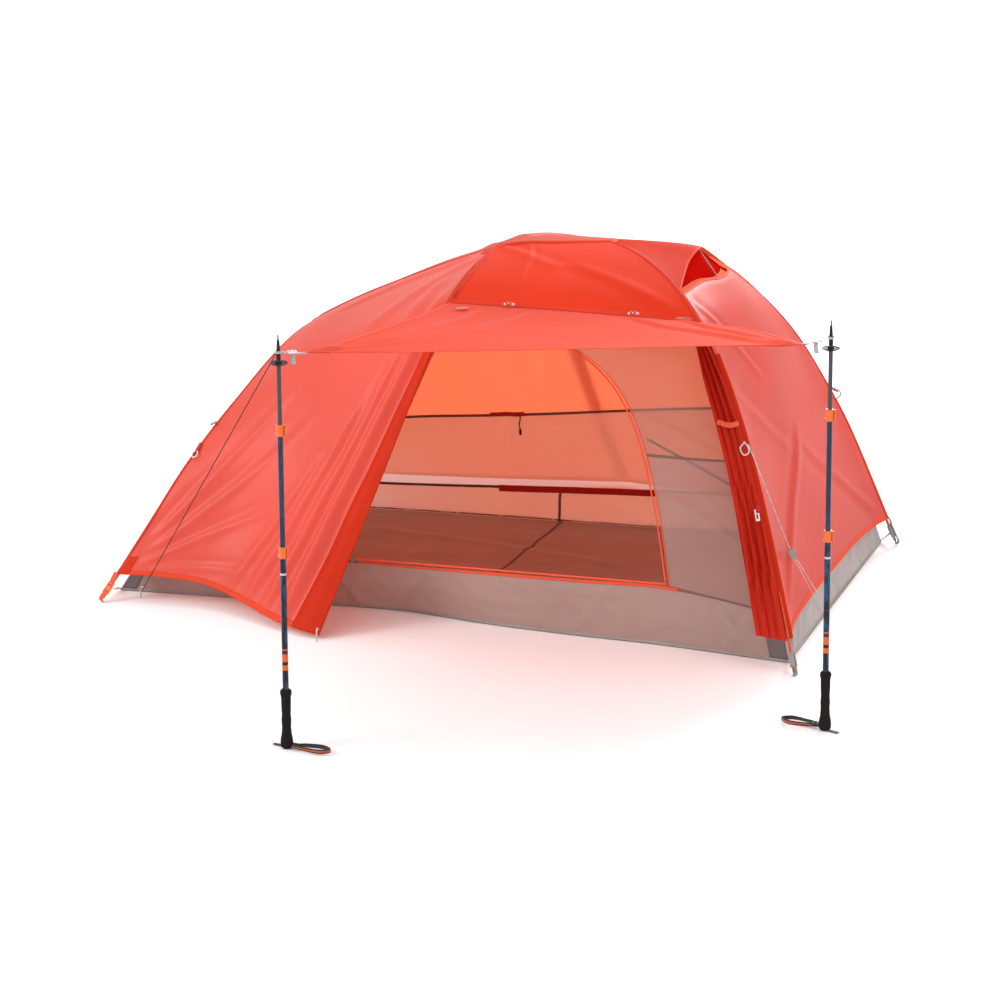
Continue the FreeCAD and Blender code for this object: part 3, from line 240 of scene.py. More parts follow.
M["foam"] = hard("foam_grip", (0.014, 0.012, 0.013), rough=0.9, spec=0.08, grain=700.0, bump=0.6, scratch=0.15)
M["lock"] = hard("lock_orange", (0.72, 0.125, 0.004), rough=0.34)
M["shaft_grey"] = hard("shaft_grey", (0.055, 0.052, 0.056), rough=0.38, metallic=0.15, spec=0.35, grain=90.0, stretch=(1, 1, 0.02))

def shaft_blue():
    """Anodised dark shaft with a blue broken pattern, scale rings and an orange band."""
    m, nd = mk("shaft_blue")
    obj = nd("ShaderNodeTexCoord").outputs["Object"]
    mp = nd("ShaderNodeMapping", {0: obj, 3: (1.0, 1.0, 0.22)}).outputs[0]
    a = nd("ShaderNodeTexNoise", {"Vector": mp, "Scale": 70.0, "Detail": 6.0, "Roughness": 0.62, "Distortion": 0.8}).outputs[0]
    b = nd("ShaderNodeTexVoronoi", {"Vector": mp, "Scale": 120.0}).outputs[0]
    f = nd("ShaderNodeMapRange", {0: math_(nd, "MULTIPLY_ADD", b, -0.22, a), 1: 0.40, 2: 0.47, 3: 0.0, 4: 1.0}).outputs[0]
    base = mixc(nd, f, c4((0.004, 0.006, 0.010)), c4((0.004, 0.060, 0.150)))
    z = nd("ShaderNodeSeparateXYZ", {0: obj}).outputs[2]
    for z0, z1, col in ((0.236, 0.252, (0.62, 0.10, 0.012)), (0.262, 0.285, (0.62, 0.10, 0.012)), (0.296, 0.300, (0.62, 0.10, 0.012)), (0.520, 0.526, (0.5, 0.5, 0.5)),
                        (0.900, 0.905, (0.62, 0.10, 0.012))):
        q = math_(nd, "MULTIPLY", math_(nd, "GREATER_THAN", z, z0), math_(nd, "LESS_THAN", z, z1))
        base = mixc(nd, q, base, c4(col))
    fine = nd("ShaderNodeTexNoise", {"Vector": mp, "Scale": 900.0, "Detail": 3.0}).outputs[0]
    bp = nd("ShaderNodeBump", {"Strength": 0.08, "Distance": 0.0003, "Height": fine}).outputs[0]
    p = nd("ShaderNodeBsdfPrincipled", {"Base Color": base, "Roughness": math_(nd, "MULTIPLY_ADD", fine, 0.2, 0.18), "Metallic": 0.0, "Specular IOR Level": 0.3,
                                        "Coat Weight": 0.0, "Normal": bp})
    nd("ShaderNodeOutputMaterial", {0: p.outputs[0]})
    return m
M["shaft_blue"] = shaft_blue()

# ---------------------------------------------------------------- helpers
def A(*pts):
    return np.array(pts, float) / 1000.0

def cr(P, t):
    P = np.asarray(P, float)
    t = np.clip(np.asarray(t, float), 0, 1)
    seg = np.linalg.norm(np.diff(P, axis=0), axis=1)
    L = np.concatenate([[0], np.cumsum(seg)])
    s = t * L[-1]
    i = np.clip(np.searchsorted(L, s, side="left") - 1, 0, len(P) - 2)
    h = seg[i]
    x = (s - L[i]) / h
    T = np.empty_like(P)
    T[0], T[-1] = (P[1] - P[0]) / seg[0], (P[-1] - P[-2]) / seg[-1]
    if len(P) > 2:
        T[1:-1] = (P[2:] - P[:-2]) / (L[2:] - L[:-2])[:, None]
    x, h = x[..., None], h[..., None]
    return P[i] * (2*x**3 - 3*x**2 + 1) + T[i] * (h * (x**3 - 2*x**2 + x)) + P[i+1] * (-2*x**3 + 3*x**2) + T[i+1] * (h * (x**3 - x**2))

def outward(P, d):
    P = np.atleast_2d(P)
    c = np.stack([P[:, 0] * 0.45, P[:, 1] * 0, P[:, 2] * 0.35], 1)
    n = P - c
    return P + n / np.linalg.norm(n, axis=1)[:, None] * d / 1000.0

def sub(P, t0, t1, n=7):
    return cr(P, np.linspace(t0, t1, n))

def mirror(P):
    return P * np.array([1, -1, 1.0])

def smooth(x, a, b):
    t = np.clip((x - a) / (b - a), 0, 1)
    return t * t * (3 - 2 * t)

rng = np.random.default_rng(7)
WAVES = [(rng.normal(size=3), rng.uniform(0, 6.28)) for _ in range(14)]
def noise(p, scale):
    """Smooth noise of a point array, about -1 to 1, from fixed waves."""
    s = 0
    for k, (d, ph) in enumerate(WAVES):
        s = s + np.sin((p @ d) * scale * (1 + 0.35 * k / 4) + ph + 0.8 * np.sin((p @ d[::-1]) * scale * 0.6 + ph))
    return s / 5.0

class Panel:
    """Fabric stretched between four edge curves (top, bottom, left, right), with folds."""
    def __init__(s, top, bot, left, right, bulge=None, ref=None, folds=None):
        s.top, s.bot, s.left, s.right = (np.asarray(x, float) for x in (top, bot, left, right))
        s.bulge = None if bulge is None else np.array(bulge, float) / 1000.0
        s.folds = folds
        c = s.base(np.array([[0.5]]), np.array([[0.5]]))[0, 0]
        r = np.array(ref, float) if ref is not None else c - np.array([c[0] * 0.45, 0, c[2] * 0.35])
        s.sign = 1.0
        n = s.normal(np.array([[0.5]]), np.array([[0.5]]))[0, 0]
        s.sign = 1.0 if n @ r > 0 else -1.0
        g = np.linspace(0, 1, 9)
        P = s.base(*np.meshgrid(g, g, indexing="ij"))
        s.W = float(np.mean(np.linalg.norm(np.diff(P, axis=0), axis=2).sum(0)))
        s.L = float(np.mean(np.linalg.norm(np.diff(P, axis=1), axis=2).sum(1)))
    def base(s, U, V):
        a, b, c, d = s.top[0], s.top[-1], s.bot[0], s.bot[-1]
        u, v = U[..., None], V[..., None]
        p = cr(s.top, U) * (1 - v) + cr(s.bot, U) * v + cr(s.left, V) * (1 - u) + cr(s.right, V) * u - (a * ((1-u)*(1-v)) + b * (u*(1-v)) + c * ((1-u)*v) + d * (u*v))
        if s.bulge is not None:
            p = p + s.bulge * (16 * u * (1-u) * v * (1-v))
        return p
    def normal(s, U, V):
        h = 0.006
        du = s.base(np.clip(U + h, 0, 1), V) - s.base(np.clip(U - h, 0, 1), V)
        dv = s.base(U, np.clip(V + h, 0, 1)) - s.base(U, np.clip(V - h, 0, 1))
        n = np.cross(du, dv)
        return s.sign * n / np.maximum(np.linalg.norm(n, axis=-1), 1e-12)[..., None]
    def at(s, U, V, lift=0.0):
        p, n = s.base(U, V), s.normal(U, V)
        d = np.full(U.shape, lift)
        if s.folds is not None:
            d = d + s.folds(s, U, V, p)
        return p + n * d[..., None]

def crease(s, U, V, u0, v0, u1, v1, w, a, fade=0.0, skew=0.6):
    """A fold of height a and width w metres along a line in the panel, a valley on one side of it."""
    x, y = (U - u0) * s.W, (V - v0) * s.L
    dx, dy = (u1 - u0) * s.W, (v1 - v0) * s.L
    L = math.hypot(dx, dy)
    t = (x * dx + y * dy) / (L * L)
    d = (x * dy - y * dx) / L
    d = d + 0.12 * w * np.sin(t * 9 + u0 * 30)
    ends = smooth(t, -0.02, 0.16) * (1 - smooth(t, 0.8, 1.05))
    ends = ends * (1 - fade * np.clip(t, 0, 1))
    g = np.exp(-(d / w) ** 2) - skew * np.exp(-((d - 1.5 * w) / (1.3 * w)) ** 2)
    return a * g * ends

def rim(U, V, e=0.05, f=0.05):
    return smooth(U, 0, e) * smooth(1 - U, 0, e) * smooth(V, 0, f) * smooth(1 - V, 0, f)

PIECES = {}
def mesh_from(name, verts, faces, mat, uvs=None, body="tent", smooth_=True):
    me = bpy.data.meshes.new(name)
    me.from_pydata([tuple(map(float, v)) for v in verts], [], [tuple(map(int, f)) for f in faces])
    me.validate()
    me.update()
    if smooth_:
        me.polygons.foreach_set("use_smooth", [True] * len(me.polygons))
    layer = me.uv_layers.new(name="UVMap")
    if uvs is not None:
        idx = np.zeros(len(me.loops), int)
        me.loops.foreach_get("vertex_index", idx)
        layer.data.foreach_set("uv", np.asarray(uvs, float)[idx].ravel())
    me.materials.append(mat)
    o = bpy.data.objects.new(name, me)
    coll.objects.link(o)
    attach(o, body)
    PIECES[name] = o
    return o

def grid_uv(P):
    su = np.concatenate([[0], np.cumsum(np.linalg.norm(np.diff(P, axis=0), axis=2).mean(1))])
    sv = np.concatenate([[0], np.cumsum(np.linalg.norm(np.diff(P, axis=1), axis=2).mean(0))])
    return np.stack(np.meshgrid(su, sv, indexing="ij"), -1)

def grid_faces(n, m, flip=False):
    i, j = np.meshgrid(np.arange(n - 1), np.arange(m - 1), indexing="ij")
    a = (i * m + j).ravel()
    f = np.stack([a, a + m, a + m + 1, a + 1], 1)
    return f[:, ::-1] if flip else f

AREAS = {}
def area_of(P):
    a = np.linalg.norm(np.cross(P[1:, :-1] - P[:-1, :-1], P[:-1, 1:] - P[:-1, :-1]), axis=2).sum() / 2
    b = np.linalg.norm(np.cross(P[1:, :-1] - P[1:, 1:], P[:-1, 1:] - P[1:, 1:]), axis=2).sum() / 2
    return float(a + b)

def cloth(name, P, mat, nodes=(), flip=False, declare=True, body="tent", spare=1.0):
    n, m = P.shape[:2]
    o = mesh_from(name, P.reshape(-1, 3), grid_faces(n, m, flip), mat, grid_uv(P).reshape(-1, 2), body)
    if nodes:
        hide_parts(*nodes)
    if declare:
        w = float(np.linalg.norm(np.diff(P, axis=0), axis=2).sum(0).max())
        l = float(np.linalg.norm(np.diff(P, axis=1), axis=2).sum(1).max())
        a = area_of(P)
        w, l = math.ceil(w * 100) / 100, math.ceil(l * 100) / 100
        AREAS[name] = (w, l, round(a / spare, 3))
    return o

def split_at(pan, zs, us, lo_v=0.0, hi_v=1.0):
    """v along each column where the panel reaches height zs(x)."""
    out = []
    vv = np.linspace(lo_v, hi_v, 60)
    for u in us:
        p = pan.base(np.full_like(vv, u), vv)
        z = p[:, 2] - zs(p[:, 0])
        k = np.where((z[:-1] > 0) & (z[1:] <= 0))[0]
        out.append(float(vv[k[0]] + (vv[k[0]+1] - vv[k[0]]) * z[k[0]] / (z[k[0]] - z[k[0]+1])) if len(k) else (hi_v if z[-1] > 0 else lo_v))
    return np.array(out)

def net(pan, nu=90, nv=90, u0=0.0, u1=1.0, v0=0.0, v1=1.0, lift=0.0):
    us = np.linspace(u0, u1, nu)
    a = np.full(nu, v0) if np.isscalar(v0) else v0
    b = np.full(nu, v1) if np.isscalar(v1) else v1
    t = np.linspace(0, 1, nv)
    U = np.repeat(us[:, None], nv, 1)
    V = a[:, None] * (1 - t)[None] + b[:, None] * t[None]
    return pan.at(U, V, lift)

def tape(name, pan, mat, u0, u1, v0, v1, lift=0.0012, n=80, m=5, body="tent", thick=0.0009):
    """A strip of tape or a folded hem sewn on a panel: a raised band, closed as a thin solid."""
    P = net(pan, n if abs(u1 - u0) > abs(v1 - v0) else m, m if abs(u1 - u0) > abs(v1 - v0) else n, u0, u1, v0, v1, lift)
    Q = net(pan, P.shape[0], P.shape[1], u0, u1, v0, v1, lift - thick - 0.0004)
    return skin(name, P, Q, mat, body)

def skin(name, P, Q, mat, body="tent"):
    """Closed thin solid between two nets."""
    n, m = P.shape[:2]
    verts = np.concatenate([P.reshape(-1, 3), Q.reshape(-1, 3)])
    f = [tuple(x) for x in grid_faces(n, m)] + [tuple(x) for x in grid_faces(n, m, True) + n * m]
    k = n * m
    for j in range(m - 1):
        f.append((j, j + 1, k + j + 1, k + j))
        a = (n - 1) * m + j
        f.append((a + 1, a, k + a, k + a + 1))
    for i in range(n - 1):
        a = i * m
        f.append((a + m, a, k + a, k + a + m))
        b = i * m + m - 1
        f.append((b, b + m, k + b + m, k + b))
    uv = grid_uv(P).reshape(-1, 2)
    return mesh_from(name, verts, f, mat, np.concatenate([uv, uv]), body)

def ribbon(name, pts, width, normal, mat, thick=0.0013, n=None, body="tent", widths=None, twist=None):
    """Flat webbing along a smooth line: rounded edges, width across normal."""
    pts = np.asarray(pts, float)
    n = n or max(8, 6 * len(pts))
    t = np.linspace(0, 1, n)
    C = cr(pts, t)
    T = np.gradient(C, axis=0)
    T /= np.linalg.norm(T, axis=1)[:, None]
    nr = np.asarray(normal, float)
    nr = np.broadcast_to(nr, C.shape) if nr.ndim == 1 else cr(nr, t)
    nr = nr - T * (nr * T).sum(1)[:, None]
    nr /= np.linalg.norm(nr, axis=1)[:, None]
    S = np.cross(nr, T)
    w = (np.full(n, width) if widths is None else np.interp(t, np.linspace(0, 1, len(widths)), widths))[:, None]
    prof = [(-0.5, 0.25), (-0.47, 0.5), (-0.2, 0.44), (0.2, 0.44), (0.47, 0.5), (0.5, 0.25), (0.5, -0.25), (0.47, -0.5), (0.2, -0.44), (-0.2, -0.44), (-0.47, -0.5), (-0.5, -0.25)]
    R = np.stack([C + S * (w * a) + nr * (thick * b) for a, b in prof], 1)
    k = len(prof)
    verts = R.reshape(-1, 3)
    f = [(i * k + j, i * k + (j + 1) % k, (i + 1) * k + (j + 1) % k, (i + 1) * k + j) for i in range(n - 1) for j in range(k)]
    f += [tuple(range(k))[::-1], tuple((n - 1) * k + j for j in range(k))]
    L = np.concatenate([[0], np.cumsum(np.linalg.norm(np.diff(C, axis=0), axis=1))])
    uv = np.array([(L[i], a * width) for i in range(n) for a, b in prof])
    return mesh_from(name, verts, f, mat, uv, body)

def tubing(name, pts, r, mat, n=None, k=10, body="tent", closed=False):
    pts = np.asarray(pts, float)
    n = n or max(10, 8 * len(pts))
    C = cr(pts, np.linspace(0, 1, n))
    T = np.gradient(C, axis=0)
    T /= np.linalg.norm(T, axis=1)[:, None]
    a = np.array([0, 0, 1.0]) if abs(T[0][2]) < 0.9 else np.array([1.0, 0, 0])
    X = np.zeros_like(C)
    x = np.cross(T[0], a)
    for i in range(n):
        x = x - T[i] * (x @ T[i])
        x /= np.linalg.norm(x)
        X[i] = x
    Y = np.cross(T, X)
    th = np.linspace(0, 2 * math.pi, k, endpoint=False)
    rr = np.full(n, r) if np.isscalar(r) else np.interp(np.linspace(0, 1, n), np.linspace(0, 1, len(r)), r)
    R = C[:, None] + X[:, None] * (np.cos(th)[None, :, None] * rr[:, None, None]) + Y[:, None] * (np.sin(th)[None, :, None] * rr[:, None, None])
    f = [(i * k + j, i * k + (j + 1) % k, (i + 1) * k + (j + 1) % k, (i + 1) * k + j) for i in range(n - 1) for j in range(k)]
    f += [tuple(range(k))[::-1], tuple((n - 1) * k + j for j in range(k))]
    L = np.concatenate([[0], np.cumsum(np.linalg.norm(np.diff(C, axis=0), axis=1))])
    uv = np.array([(L[i], q * r if np.isscalar(r) else q * 0.01) for i in range(n) for q in th])
    return mesh_from(name, R.reshape(-1, 3), f, mat, uv, body)

def moulded(name, c, d, n, size, mat, holes=(), bevel=0.0014, body="tent", ribs=0):
    """A moulded block with rounded edges, cut by slots, ribbed on top: axes d (length), n (thickness)."""
    import bmesh
    c, d, n = Vector(c), Vector(d).normalized(), Vector(n)
    n = (n - d * n.dot(d)).normalized()
    s = n.cross(d)
    mw = Matrix(((d.x, s.x, n.x, c.x), (d.y, s.y, n.y, c.y), (d.z, s.z, n.z, c.z), (0, 0, 0, 1)))
    bm = bmesh.new()
    l, w, t = size
    xs = sorted({-l/2, l/2} | {x for h in holes for x in (h[0] - h[1]/2, h[0] + h[1]/2)})
    ys = sorted({-w/2, w/2} | {y for h in holes for y in (-h[2]/2, h[2]/2)})
    grid = {}
    for i in range(len(xs) - 1):
        for j in range(len(ys) - 1):
            mx, my = (xs[i] + xs[i+1]) / 2, (ys[j] + ys[j+1]) / 2
            grid[i, j] = not any(abs(mx - h[0]) < h[1]/2 and abs(my) < h[2]/2 for h in holes)
    vt = {}
    def vert(i, j, k):
        if (i, j, k) not in vt:
            vt[i, j, k] = bm.verts.new((xs[i], ys[j], (t/2 if k else -t/2)))
        return vt[i, j, k]
    for (i, j), on in grid.items():
        if not on:
            continue
        bm.faces.new([vert(i, j, 1), vert(i+1, j, 1), vert(i+1, j+1, 1), vert(i, j+1, 1)])
        bm.faces.new([vert(i, j+1, 0), vert(i+1, j+1, 0), vert(i+1, j, 0), vert(i, j, 0)])
        for (di, dj, q) in ((-1, 0, ((i, j), (i, j+1))), (1, 0, ((i+1, j+1), (i+1, j))), (0, -1, ((i+1, j), (i, j))), (0, 1, ((i, j+1), (i+1, j+1)))):
            if not grid.get((i + di, j + dj), False):
                (a0, a1), (b0, b1) = q
                bm.faces.new([vert(a0, a1, 0), vert(a0, a1, 1), vert(b0, b1, 1), vert(b0, b1, 0)])
    bmesh.ops.recalc_face_normals(bm, faces=bm.faces)
    flat = [e for e in bm.edges if e.is_manifold and e.calc_face_angle(0) > 0.5]
    bmesh.ops.bevel(bm, geom=flat, offset=bevel, segments=3, profile=0.7, affect="EDGES")
    for k in range(ribs):
        x = -l * 0.3 + l * 0.6 * k / max(1, ribs - 1)
        g = bmesh.ops.create_cube(bm, size=1.0, matrix=Matrix.Translation((x, 0, t/2)) @ Matrix.Diagonal((l * 0.03, w * 0.7, t * 0.14, 1)))
        es = list({e for v in g["verts"] for e in v.link_edges})
        bmesh.ops.bevel(bm, geom=es, offset=l * 0.008, segments=2, affect="EDGES")
    bmesh.ops.transform(bm, matrix=mw, verts=bm.verts)
    me = bpy.data.meshes.new(name)
    bm.to_mesh(me)
    bm.free()
    me.polygons.foreach_set("use_smooth", [True] * len(me.polygons))
    me.uv_layers.new(name="UVMap")
    me.materials.append(mat)
    o = bpy.data.objects.new(name, me)
    coll.objects.link(o)
    o.modifiers.new("edges", "WEIGHTED_NORMAL").keep_sharp = True
    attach(o, body)
    PIECES[name] = o
    return o

# ---------------------------------------------------------------- cords first
def cord_curve(name, pts, dia, mat):
    cu = bpy.data.curves.new(name, "CURVE")
    cu.dimensions = "3D"
    sp = cu.splines.new("NURBS")
    sp.points.add(len(pts) - 1)
    for i, p in enumerate(pts):
        sp.points[i].co = (p[0], p[1], p[2], 1)
    sp.order_u = 3
    sp.use_endpoint_u = True
    sp.resolution_u = 8
    cu.bevel_depth = dia / 2
    cu.bevel_resolution = 3
    cu.materials.append(mat)
    o = bpy.data.objects.new(name, cu)
    coll.objects.link(o)
    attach(o, "tent")
    return o

def straight(a, b):
    return [a, tuple(a[i] + (b[i] - a[i]) * 0.5 for i in range(3)), b]

G0, G1 = (-0.093, -1.795, 1.169), (-1.018, -0.602, 0.026)
guy_left = cord_curve("guyline_awning_cord", straight(G0, G1), 0.0026, M["cord_dark"])
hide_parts("guyline_awning")
S0, S1 = (0.976, -0.618, 0.668), (1.078, -0.492, 0.311)
guy_side = cord_curve("guyline_side_cord", straight(S0, S1), 0.0026, M["cord_light"])
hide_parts("guyline_side")
F0, F1 = (1.090, -0.473, 0.273), (1.135, -0.375, 0.119)
K0, K1 = (1.096, -0.468, 0.271), (1.140, -0.345, 0.119)
guy_fa = cord_curve("guyline_side_fork_a", straight(F0, F1), 0.0021, M["cord_light"])
guy_fb = cord_curve("guyline_side_fork_b", straight(K0, K1), 0.0021, M["cord_light"])

# ---------------------------------------------------------------- edge lines of the fabric (millimetres, as in the part)
RIDGE = A((-600,0,805),(-470,0,880),(-340,0,940),(-200,0,1000),(-100,0,1038),(0,0,1068),(170,0,1100),(360,0,1115))
LHN = A((360,0,1115),(450,-75,1112),(540,-165,1098),(630,-262,1070),(712,-362,1030),(780,-435,975),(835,-480,898),
        (890,-515,790),(945,-548,655),(1000,-588,500),(1055,-640,335),(1108,-700,175),(1165,-776,8))
LHF = A((360,0,1115),(445,75,1104),(525,165,1075),(600,258,1030),(682,350,960),(770,430,850),(858,490,725),(940,540,570),(1015,580,410),(1088,615,220),(1173,646,8))
LFN = A((-600,0,805),(-655,-85,768),(-708,-175,706),(-768,-285,615),(-835,-385,515),(-905,-475,400),(-972,-548,275),(-1043,-607,155),(-1130,-666,8))
LFF = mirror(LFN)
BROW1, BROW2 = A((-9,-320,1041)), A((-3,-160,1068))
hemnear = A((-1086,-650,91),(-950,-637,91),(-796,-636,80),(-655,-690,55),(-500,-780,28),(-335,-842,14))
hemfarl = A((-1086,650,91),(-900,696,84),(-640,820,55),(-300,960,28),(120,1085,14))
hemfarr = A((120,1085,14),(500,940,40),(850,780,80),(1148,640,92))
hemhead = A((1133,-705,95),(1118,-560,110),(1115,-300,118),(1118,0,118),(1120,300,112),(1128,500,100),(1148,640,92))
hemfoot = A((-1086,-650,91),(-1102,-400,110),(-1108,0,120),(-1102,400,110),(-1086,650,91))
flapedge = A((-15,-470,1008),(-75,-540,824),(-160,-640,556),(-245,-738,290),(-335,-842,14))
zipfar = A((-15,470,1008),(20,625,740),(60,800,450),(90,940,225),(120,1085,14))
seam = A((-15,-470,1008),(180,-482,1010),(390,-486,1010),(590,-480,1003),(790,-452,982))
awnfront = A((-32,-1768,1163),(300,-1675,1166),(660,-1550,1168),(1010,-1360,1155),(1290,-1206,1141))
awnleft = A((-15,-470,1008),(12,-800,1052),(14,-1120,1092),(4,-1450,1130),(-32,-1768,1163))
awnright = A((790,-452,982),(900,-610,1030),(1020,-800,1072),(1150,-1000,1108),(1290,-1206,1141))
gatherin = A((768,-470,955),(812,-535,840),(862,-590,720),(918,-635,560),(965,-680,400),(1003,-712,250),(1035,-730,105))
doorzip = A((-30,-428,930),(110,-432,938),(260,-440,920),(390,-455,875),(490,-470,805),(560,-488,715),(610,-508,610),(650,-530,480),(685,-560,350),(718,-596,190))
doorleft = A((-30,-428,930),(-110,-455,760),(-200,-490,540),(-290,-525,320),(-366,-553,172))
threshold = A((-366,-553,172),(718,-596,190))
floornear = A((-1120,-535,0),(-760,-512,0),(-417,-499,0),(-158,-496,0),(121,-548,0),(403,-580,0),(695,-600,0),(1120,-660,0))
farmid = A((-25,424,955),(-60,480,640),(-85,540,360),(-100,575,165))
FG, IG = 12.0, -34.0
V3 = lambda *c: np.array([c], float) / 1000.0
peak = V3(0, 0, 1092)
fr = np.concatenate([outward(RIDGE[:5], FG + 1), peak])
fr2 = np.concatenate([peak, V3(90, 0, 1108), outward(RIDGE[6:], FG + 1)])
fbn = np.concatenate([peak, outward(BROW2, FG + 2), outward(BROW1, FG + 5), V3(-15, -470, 1008)])
fbf = mirror(fbn)
flfn = np.concatenate([outward(LFN[:-2], FG + 4), hemnear[:1]])
flff = mirror(flfn)
flhn = np.concatenate([outward(LHN[:-2], FG), hemhead[:1]])
flhf = np.concatenate([outward(LHF[:-2], FG), hemhead[-1:]])

# ---------------------------------------------------------------- the fly
def folds_near(s, U, V, p):
    """Left half of the near door: soft vertical folds by the flap, long creases towards the corner."""
    r = rim(U, V, 0.03, 0.03)
    d = 0.0035 * noise(p, 7.0) * r
    C = lambda *a, **k: crease(s, U, V, *a, **k)
    d = d + C(0.93, 0.22, 0.80, 1.02, 0.022, 0.016, fade=-0.6)
    d = d + C(0.84, 0.34, 0.70, 1.02, 0.020, 0.011, fade=-0.6)
    d = d + C(0.76, 0.46, 0.58, 1.02, 0.022, 0.010, fade=-0.5)
    d = d + C(0.66, 0.58, 0.48, 1.00, 0.018, 0.007, fade=-0.4)
    d = d + C(0.88, 0.12, 0.66, 0.66, 0.030, 0.008, fade=0.3)
    d = d + C(0.06, 0.94, 0.55, 0.50, 0.022, 0.009, fade=0.6)
    d = d + C(0.05, 0.97, 0.62, 0.72, 0.018, 0.008, fade=0.5)
    d = d + C(0.05, 0.90, 0.36, 0.38, 0.022, 0.008, fade=0.6)
    d = d + C(0.10, 0.98, 0.60, 0.93, 0.014, 0.006, fade=0.4)
    d = d + C(0.97, 0.03, 0.52, 0.34, 0.030, 0.007, fade=0.4)
    d = d + C(0.96, 0.02, 0.22, 0.10, 0.025, 0.006, fade=0.3)
    d = d * smooth(1 - U, 0.0, 0.05)
    # the storm flap along the zip turns in behind the edge
    d = d - 0.006 * smooth(U, 0.93, 1.0) * smooth(V, 0.05, 0.3)
    return d

def folds_soft(seed, a=0.004, lines=()):
    def f(s, U, V, p):
        r = rim(U, V, 0.04, 0.04)
        d = a * noise(p + seed, 6.0) * r
        for l in lines:
            d = d + crease(s, U, V, *l[:6], fade=l[6] if len(l) > 6 else 0.4) * rim(U, V, 0.015, 0.015)
        return d
    return f

side_near = Panel(fr, hemnear, flfn, np.concatenate([fbn[:-1], flapedge]), folds=folds_near)
far_left = Panel(fr, hemfarl, flff, np.concatenate([fbf[:-1], zipfar]),
                 folds=folds_soft(1.0, 0.003, [(0.05, 0.95, 0.6, 0.45, 0.022, 0.008), (0.95, 0.05, 0.5, 0.5, 0.028, 0.007), (0.9, 0.4, 0.75, 1.0, 0.02, 0.008, -0.4), (0.08, 0.97, 0.6, 0.8, 0.016, 0.006)]))
far_right = Panel(fr2, hemfarr, np.concatenate([fbf[:-1], zipfar]), flhf,
                  folds=folds_soft(2.0, 0.003, [(0.05, 0.06, 0.5, 0.5, 0.028, 0.007), (0.1, 0.4, 0.25, 1.0, 0.02, 0.008, -0.4), (0.95, 0.95, 0.4, 0.5, 0.02, 0.008)]))
legtop = np.concatenate([flhn[flhn[:, 0] < 0.775], seam[-1:]])
roof = Panel(fr2, seam, fbn, legtop, folds=folds_soft(3.0, 0.0025, [(0.03, 0.03, 0.5, 0.55, 0.03, 0.005), (0.97, 0.97, 0.5, 0.4, 0.03, 0.005), (0.30, 0.05, 0.26, 0.97, 0.012, 0.003)]))
hoodn, hoodf = sub(legtop, 0.06, 0.72), sub(flhf, 0.035, 0.30)
lip = np.concatenate([cr(legtop, np.array([0.735])) + A((1, 1, -3)), A((705,-130,1050),(722,0,1030),(712,130,1015)), cr(flhf, np.array([0.305])) + A((1, -1, -3))])
hn = np.concatenate([lip[:1], flhn[flhn[:, 0] > lip[0][0] + 0.025]])
hf = np.concatenate([lip[-1:], flhf[flhf[:, 0] > lip[-1][0] + 0.025]])
head_end = Panel(lip, hemhead, hn, hf, bulge=(-12, 0, -8), ref=(1, 0, 0.3),
                 folds=folds_soft(4.0, 0.003, [(0.04, 0.96, 0.55, 0.55, 0.022, 0.007), (0.96, 0.96, 0.5, 0.6, 0.02, 0.007), (0.03, 0.04, 0.4, 0.4, 0.02, 0.006), (0.05, 0.35, 0.45, 0.62, 0.02, 0.005)]))
hoodfront = np.concatenate([hoodn[-1:], A((656,-110,1101),(661,0,1119),(650,110,1092)), hoodf[-1:]])
hoodback = np.concatenate([hoodn[:1], (hoodn[:1] + A((4, 0, 6))) * np.array([1, 0, 1.0]), hoodf[:1]])
hood = Panel(hoodback, hoodfront, hoodn, hoodf, bulge=(0, 0, -15), ref=(0.2, 0, 1), folds=folds_soft(5.0, 0.002))
t0 = np.array([0.04])
foot_end = Panel(np.concatenate([cr(flfn, t0), (cr(flfn, t0) + cr(flff, t0)) / 2 + A((-3, 0, 2)), cr(flff, t0)]), hemfoot, sub(flfn, .04, 1, 9), sub(flff, .04, 1, 9),
                 bulge=(12, 0, -8), ref=(-1, 0, 0.4), folds=folds_soft(6.0, 0.003, [(0.04, 0.96, 0.5, 0.55, 0.02, 0.006), (0.96, 0.96, 0.5, 0.6, 0.02, 0.006)]))

def folds_awning(s, U, V, p):
    r = smooth(U, 0, 0.04) * smooth(1 - U, 0, 0.04) * smooth(V, 0, 0.04) * smooth(1 - V, 0, 0.02)
    d = 0.004 * noise(p + 9.0, 5.0) * r
    C = lambda *a, **k: crease(s, U, V, *a, **k)
    e = C(0.0, 1.0, 0.34, 0.04, 0.020, 0.010, fade=0.4) + C(0.02, 0.98, 0.14, 0.05, 0.018, 0.009, fade=0.3) + C(0.0, 0.99, 0.62, 0.20, 0.024, 0.008, fade=0.6)
    e = e + C(1.0, 1.0, 0.66, 0.04, 0.022, 0.009, fade=0.5) + C(0.99, 0.98, 0.86, 0.05, 0.016, 0.007, fade=0.3) + C(0.02, 1.0, 0.5, 0.93, 0.012, 0.005, fade=0.6)
    return d + e * smooth(U, 0, 0.02) * smooth(1 - U, 0, 0.02) * smooth(V, 0, 0.03) * smooth(1 - V, 0, 0.015)
awning = Panel(seam, awnfront, awnleft, awnright, bulge=(0, 0, -14), ref=(0, 0, 1), folds=folds_awning)

